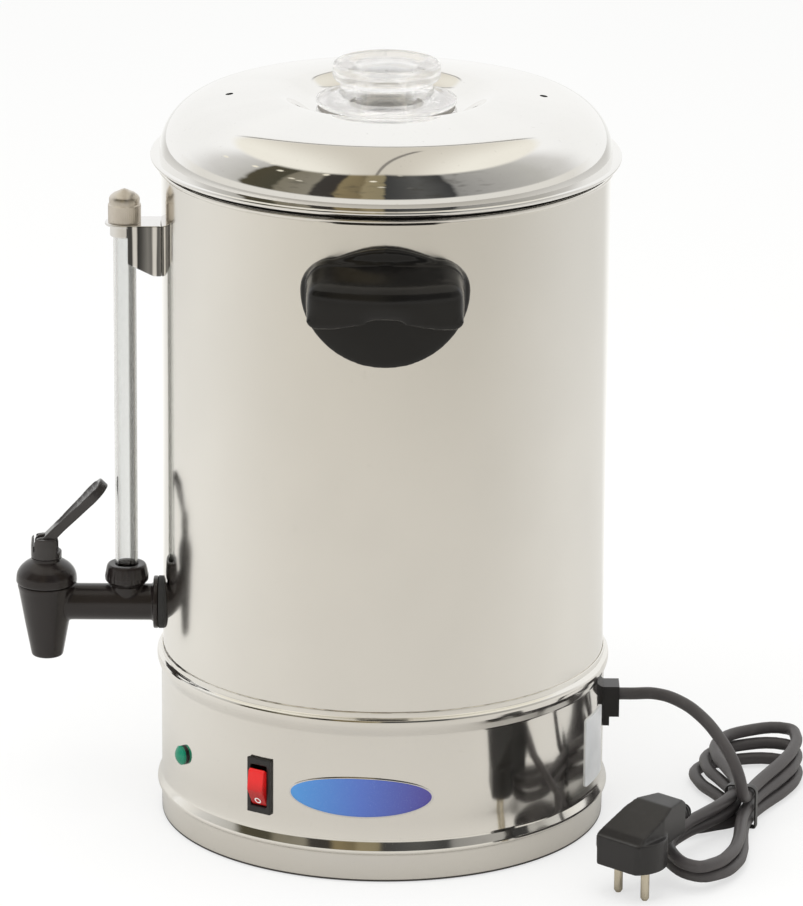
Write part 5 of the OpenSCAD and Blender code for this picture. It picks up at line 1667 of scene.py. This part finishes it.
@dataclass
class Controls:
    """Switch and badge on the base."""

    skirt_r: float = 125.85
    height: float = 50.0
    switch_a: float = math.radians(-32.4)
    pivot: float = 123.85
    tilt: float = math.radians(10.0)
    ridge: float = 8.4
    end: float = 5.0
    half: float = 10.6
    mark_z: float = -7.4
    mark_r: Point2 = (2.0, 1.3)
    mark_lift: Point2 = (-0.1, 0.07)
    badge_a: float = math.radians(-5.5)
    badge_w: float = 82.0
    badge_h: float = 24.0
    plate_rings: Tuple[float, ...] = (1.0, 1.0, 0.985, 0.9, 0.75, 0.5, 0.25, 0.06)
    bevel: float = 0.15
    border_z: Point2 = (0.05, 0.6)
    border_w: Point2 = (1.6, 1.4)
    face_z: Point2 = (0.3, 0.62)
    face_crown: float = 0.25

    def switch(self) -> None:
        """Switch frame, rocker and the ring mark on the rocker's lower half."""
        housing = Form.moulded("switch_frame", "switch_housing", 0.4, 2)
        Form.hang(housing, Body.URN, DULL_BLACK, "dull_black", "switch_housing")
        rocker = Form.moulded("rocker_moulding", "switch_rocker", 0.3, 4)
        Form.hang(rocker, Body.ROCKER, RED_LENS, "red", "switch_rocker")
        self._mark()

    def _mark(self) -> None:
        """Thin printed ring on the rocker's lower half."""
        slope = (self.ridge - self.end) / self.half
        bm = bmesh.new()
        spin = Matrix.Rotation(self.switch_a, 4, "Z")
        tilt = Matrix.Rotation(self.tilt, 4, "Y")
        turned = spin @ Matrix.Translation((self.pivot, 0, self.height)) @ tilt

        def loop(radius: float, lift: float) -> List[bmesh.types.BMVert]:
            """Ring of vertices on the rocker's face.

            Args:
                radius: Radius of the ring.
                lift: Height over the face.

            Returns:
                The vertices.
            """
            made = []
            for y, z in arc(0.0, self.mark_z, radius, radius, 0.0, 350.0, 35):
                made.append(bm.verts.new((turned @ Vector((self.ridge + slope * z + lift, y, z))) * MM))
            return made

        (outer, inner), (low, high) = self.mark_r, self.mark_lift
        loops = [loop(outer, low), loop(outer, high), loop(inner, high), loop(inner, low)]
        Form.strips(bm, [*loops, loops[0]])
        Form.hang(Form.from_bmesh("mark_off", bm), Body.ROCKER, WHITE_MARK, "ivory")

    def _plate(self, name: str, w: float, h: float, low: float, high: float, crown: float) -> Piece:
        """Rounded plate that lies on the skirt.

        Args:
            name: Name of the piece.
            w: Its width.
            h: Its height.
            low: Its back above the skirt.
            high: Its face above the skirt at the edge.
            crown: How much higher its middle is.

        Returns:
            The object.
        """
        outline = arc(0.0, 0.0, w / 2, h / 2, 0.0, 355.0, 71)
        rings = []
        for i, inset in enumerate(self.plate_rings):
            lift = low if i == 0 else high - (self.bevel if i == 1 else 0.0) + crown * (1 - inset ** 2)
            r = self.skirt_r + lift
            ring = []
            for x, z in outline:
                a = self.badge_a + x * inset / self.skirt_r
                ring.append(Vector((r * math.cos(a), r * math.sin(a), self.height + z * inset)) * MM)
            rings.append(ring)
        return Form.skin(name, rings, 50.0)

    def badge(self) -> None:
        """Plain blue badge in a bright border."""
        w, h = self.badge_w, self.badge_h
        border = self._plate("badge_border", w, h, *self.border_z, 0.0)
        Form.hang(border, Body.URN, CHROME, "chrome", "badge")
        inner = (w - self.border_w[0], h - self.border_w[1])
        face = self._plate("badge_face", *inner, *self.face_z, self.face_crown)
        Form.hang(face, Body.URN, BLUE_ENAMEL, "badge_blue")

    def build(self) -> None:
        """Makes the controls' pieces."""
        self.switch()
        self.badge()


@dataclass
class Urn:
    """The whole urn: CAD pieces with their finishes and the pieces made here."""

    parts: Tuple[type, ...] = (MainsCord, Vessel, Lid, Handles, Tap, Gauge, Controls)

    def dress(self) -> None:
        """Gives each CAD node the finish of its material slot."""
        for part in frame["record"]["subparts"]:
            node = frame["nodes"][part["node"]]
            NODE_FINISH.get(part["node"], CAD_FINISH[part["material_slot"]]).on(node)

    def build(self) -> None:
        """Dresses the CAD nodes and makes the other pieces."""
        self.dress()
        for part in self.parts:
            part().build()
            log.info("%s made", part.__name__)


def main() -> None:
    """Builds the studio and the urn."""
    logging.basicConfig(level=logging.INFO, format="%(message)s")
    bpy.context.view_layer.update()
    bpy.context.scene.view_settings.view_transform = "Standard"
    Studio().build()
    Urn().build()


if __name__ == "__main__":
    main()
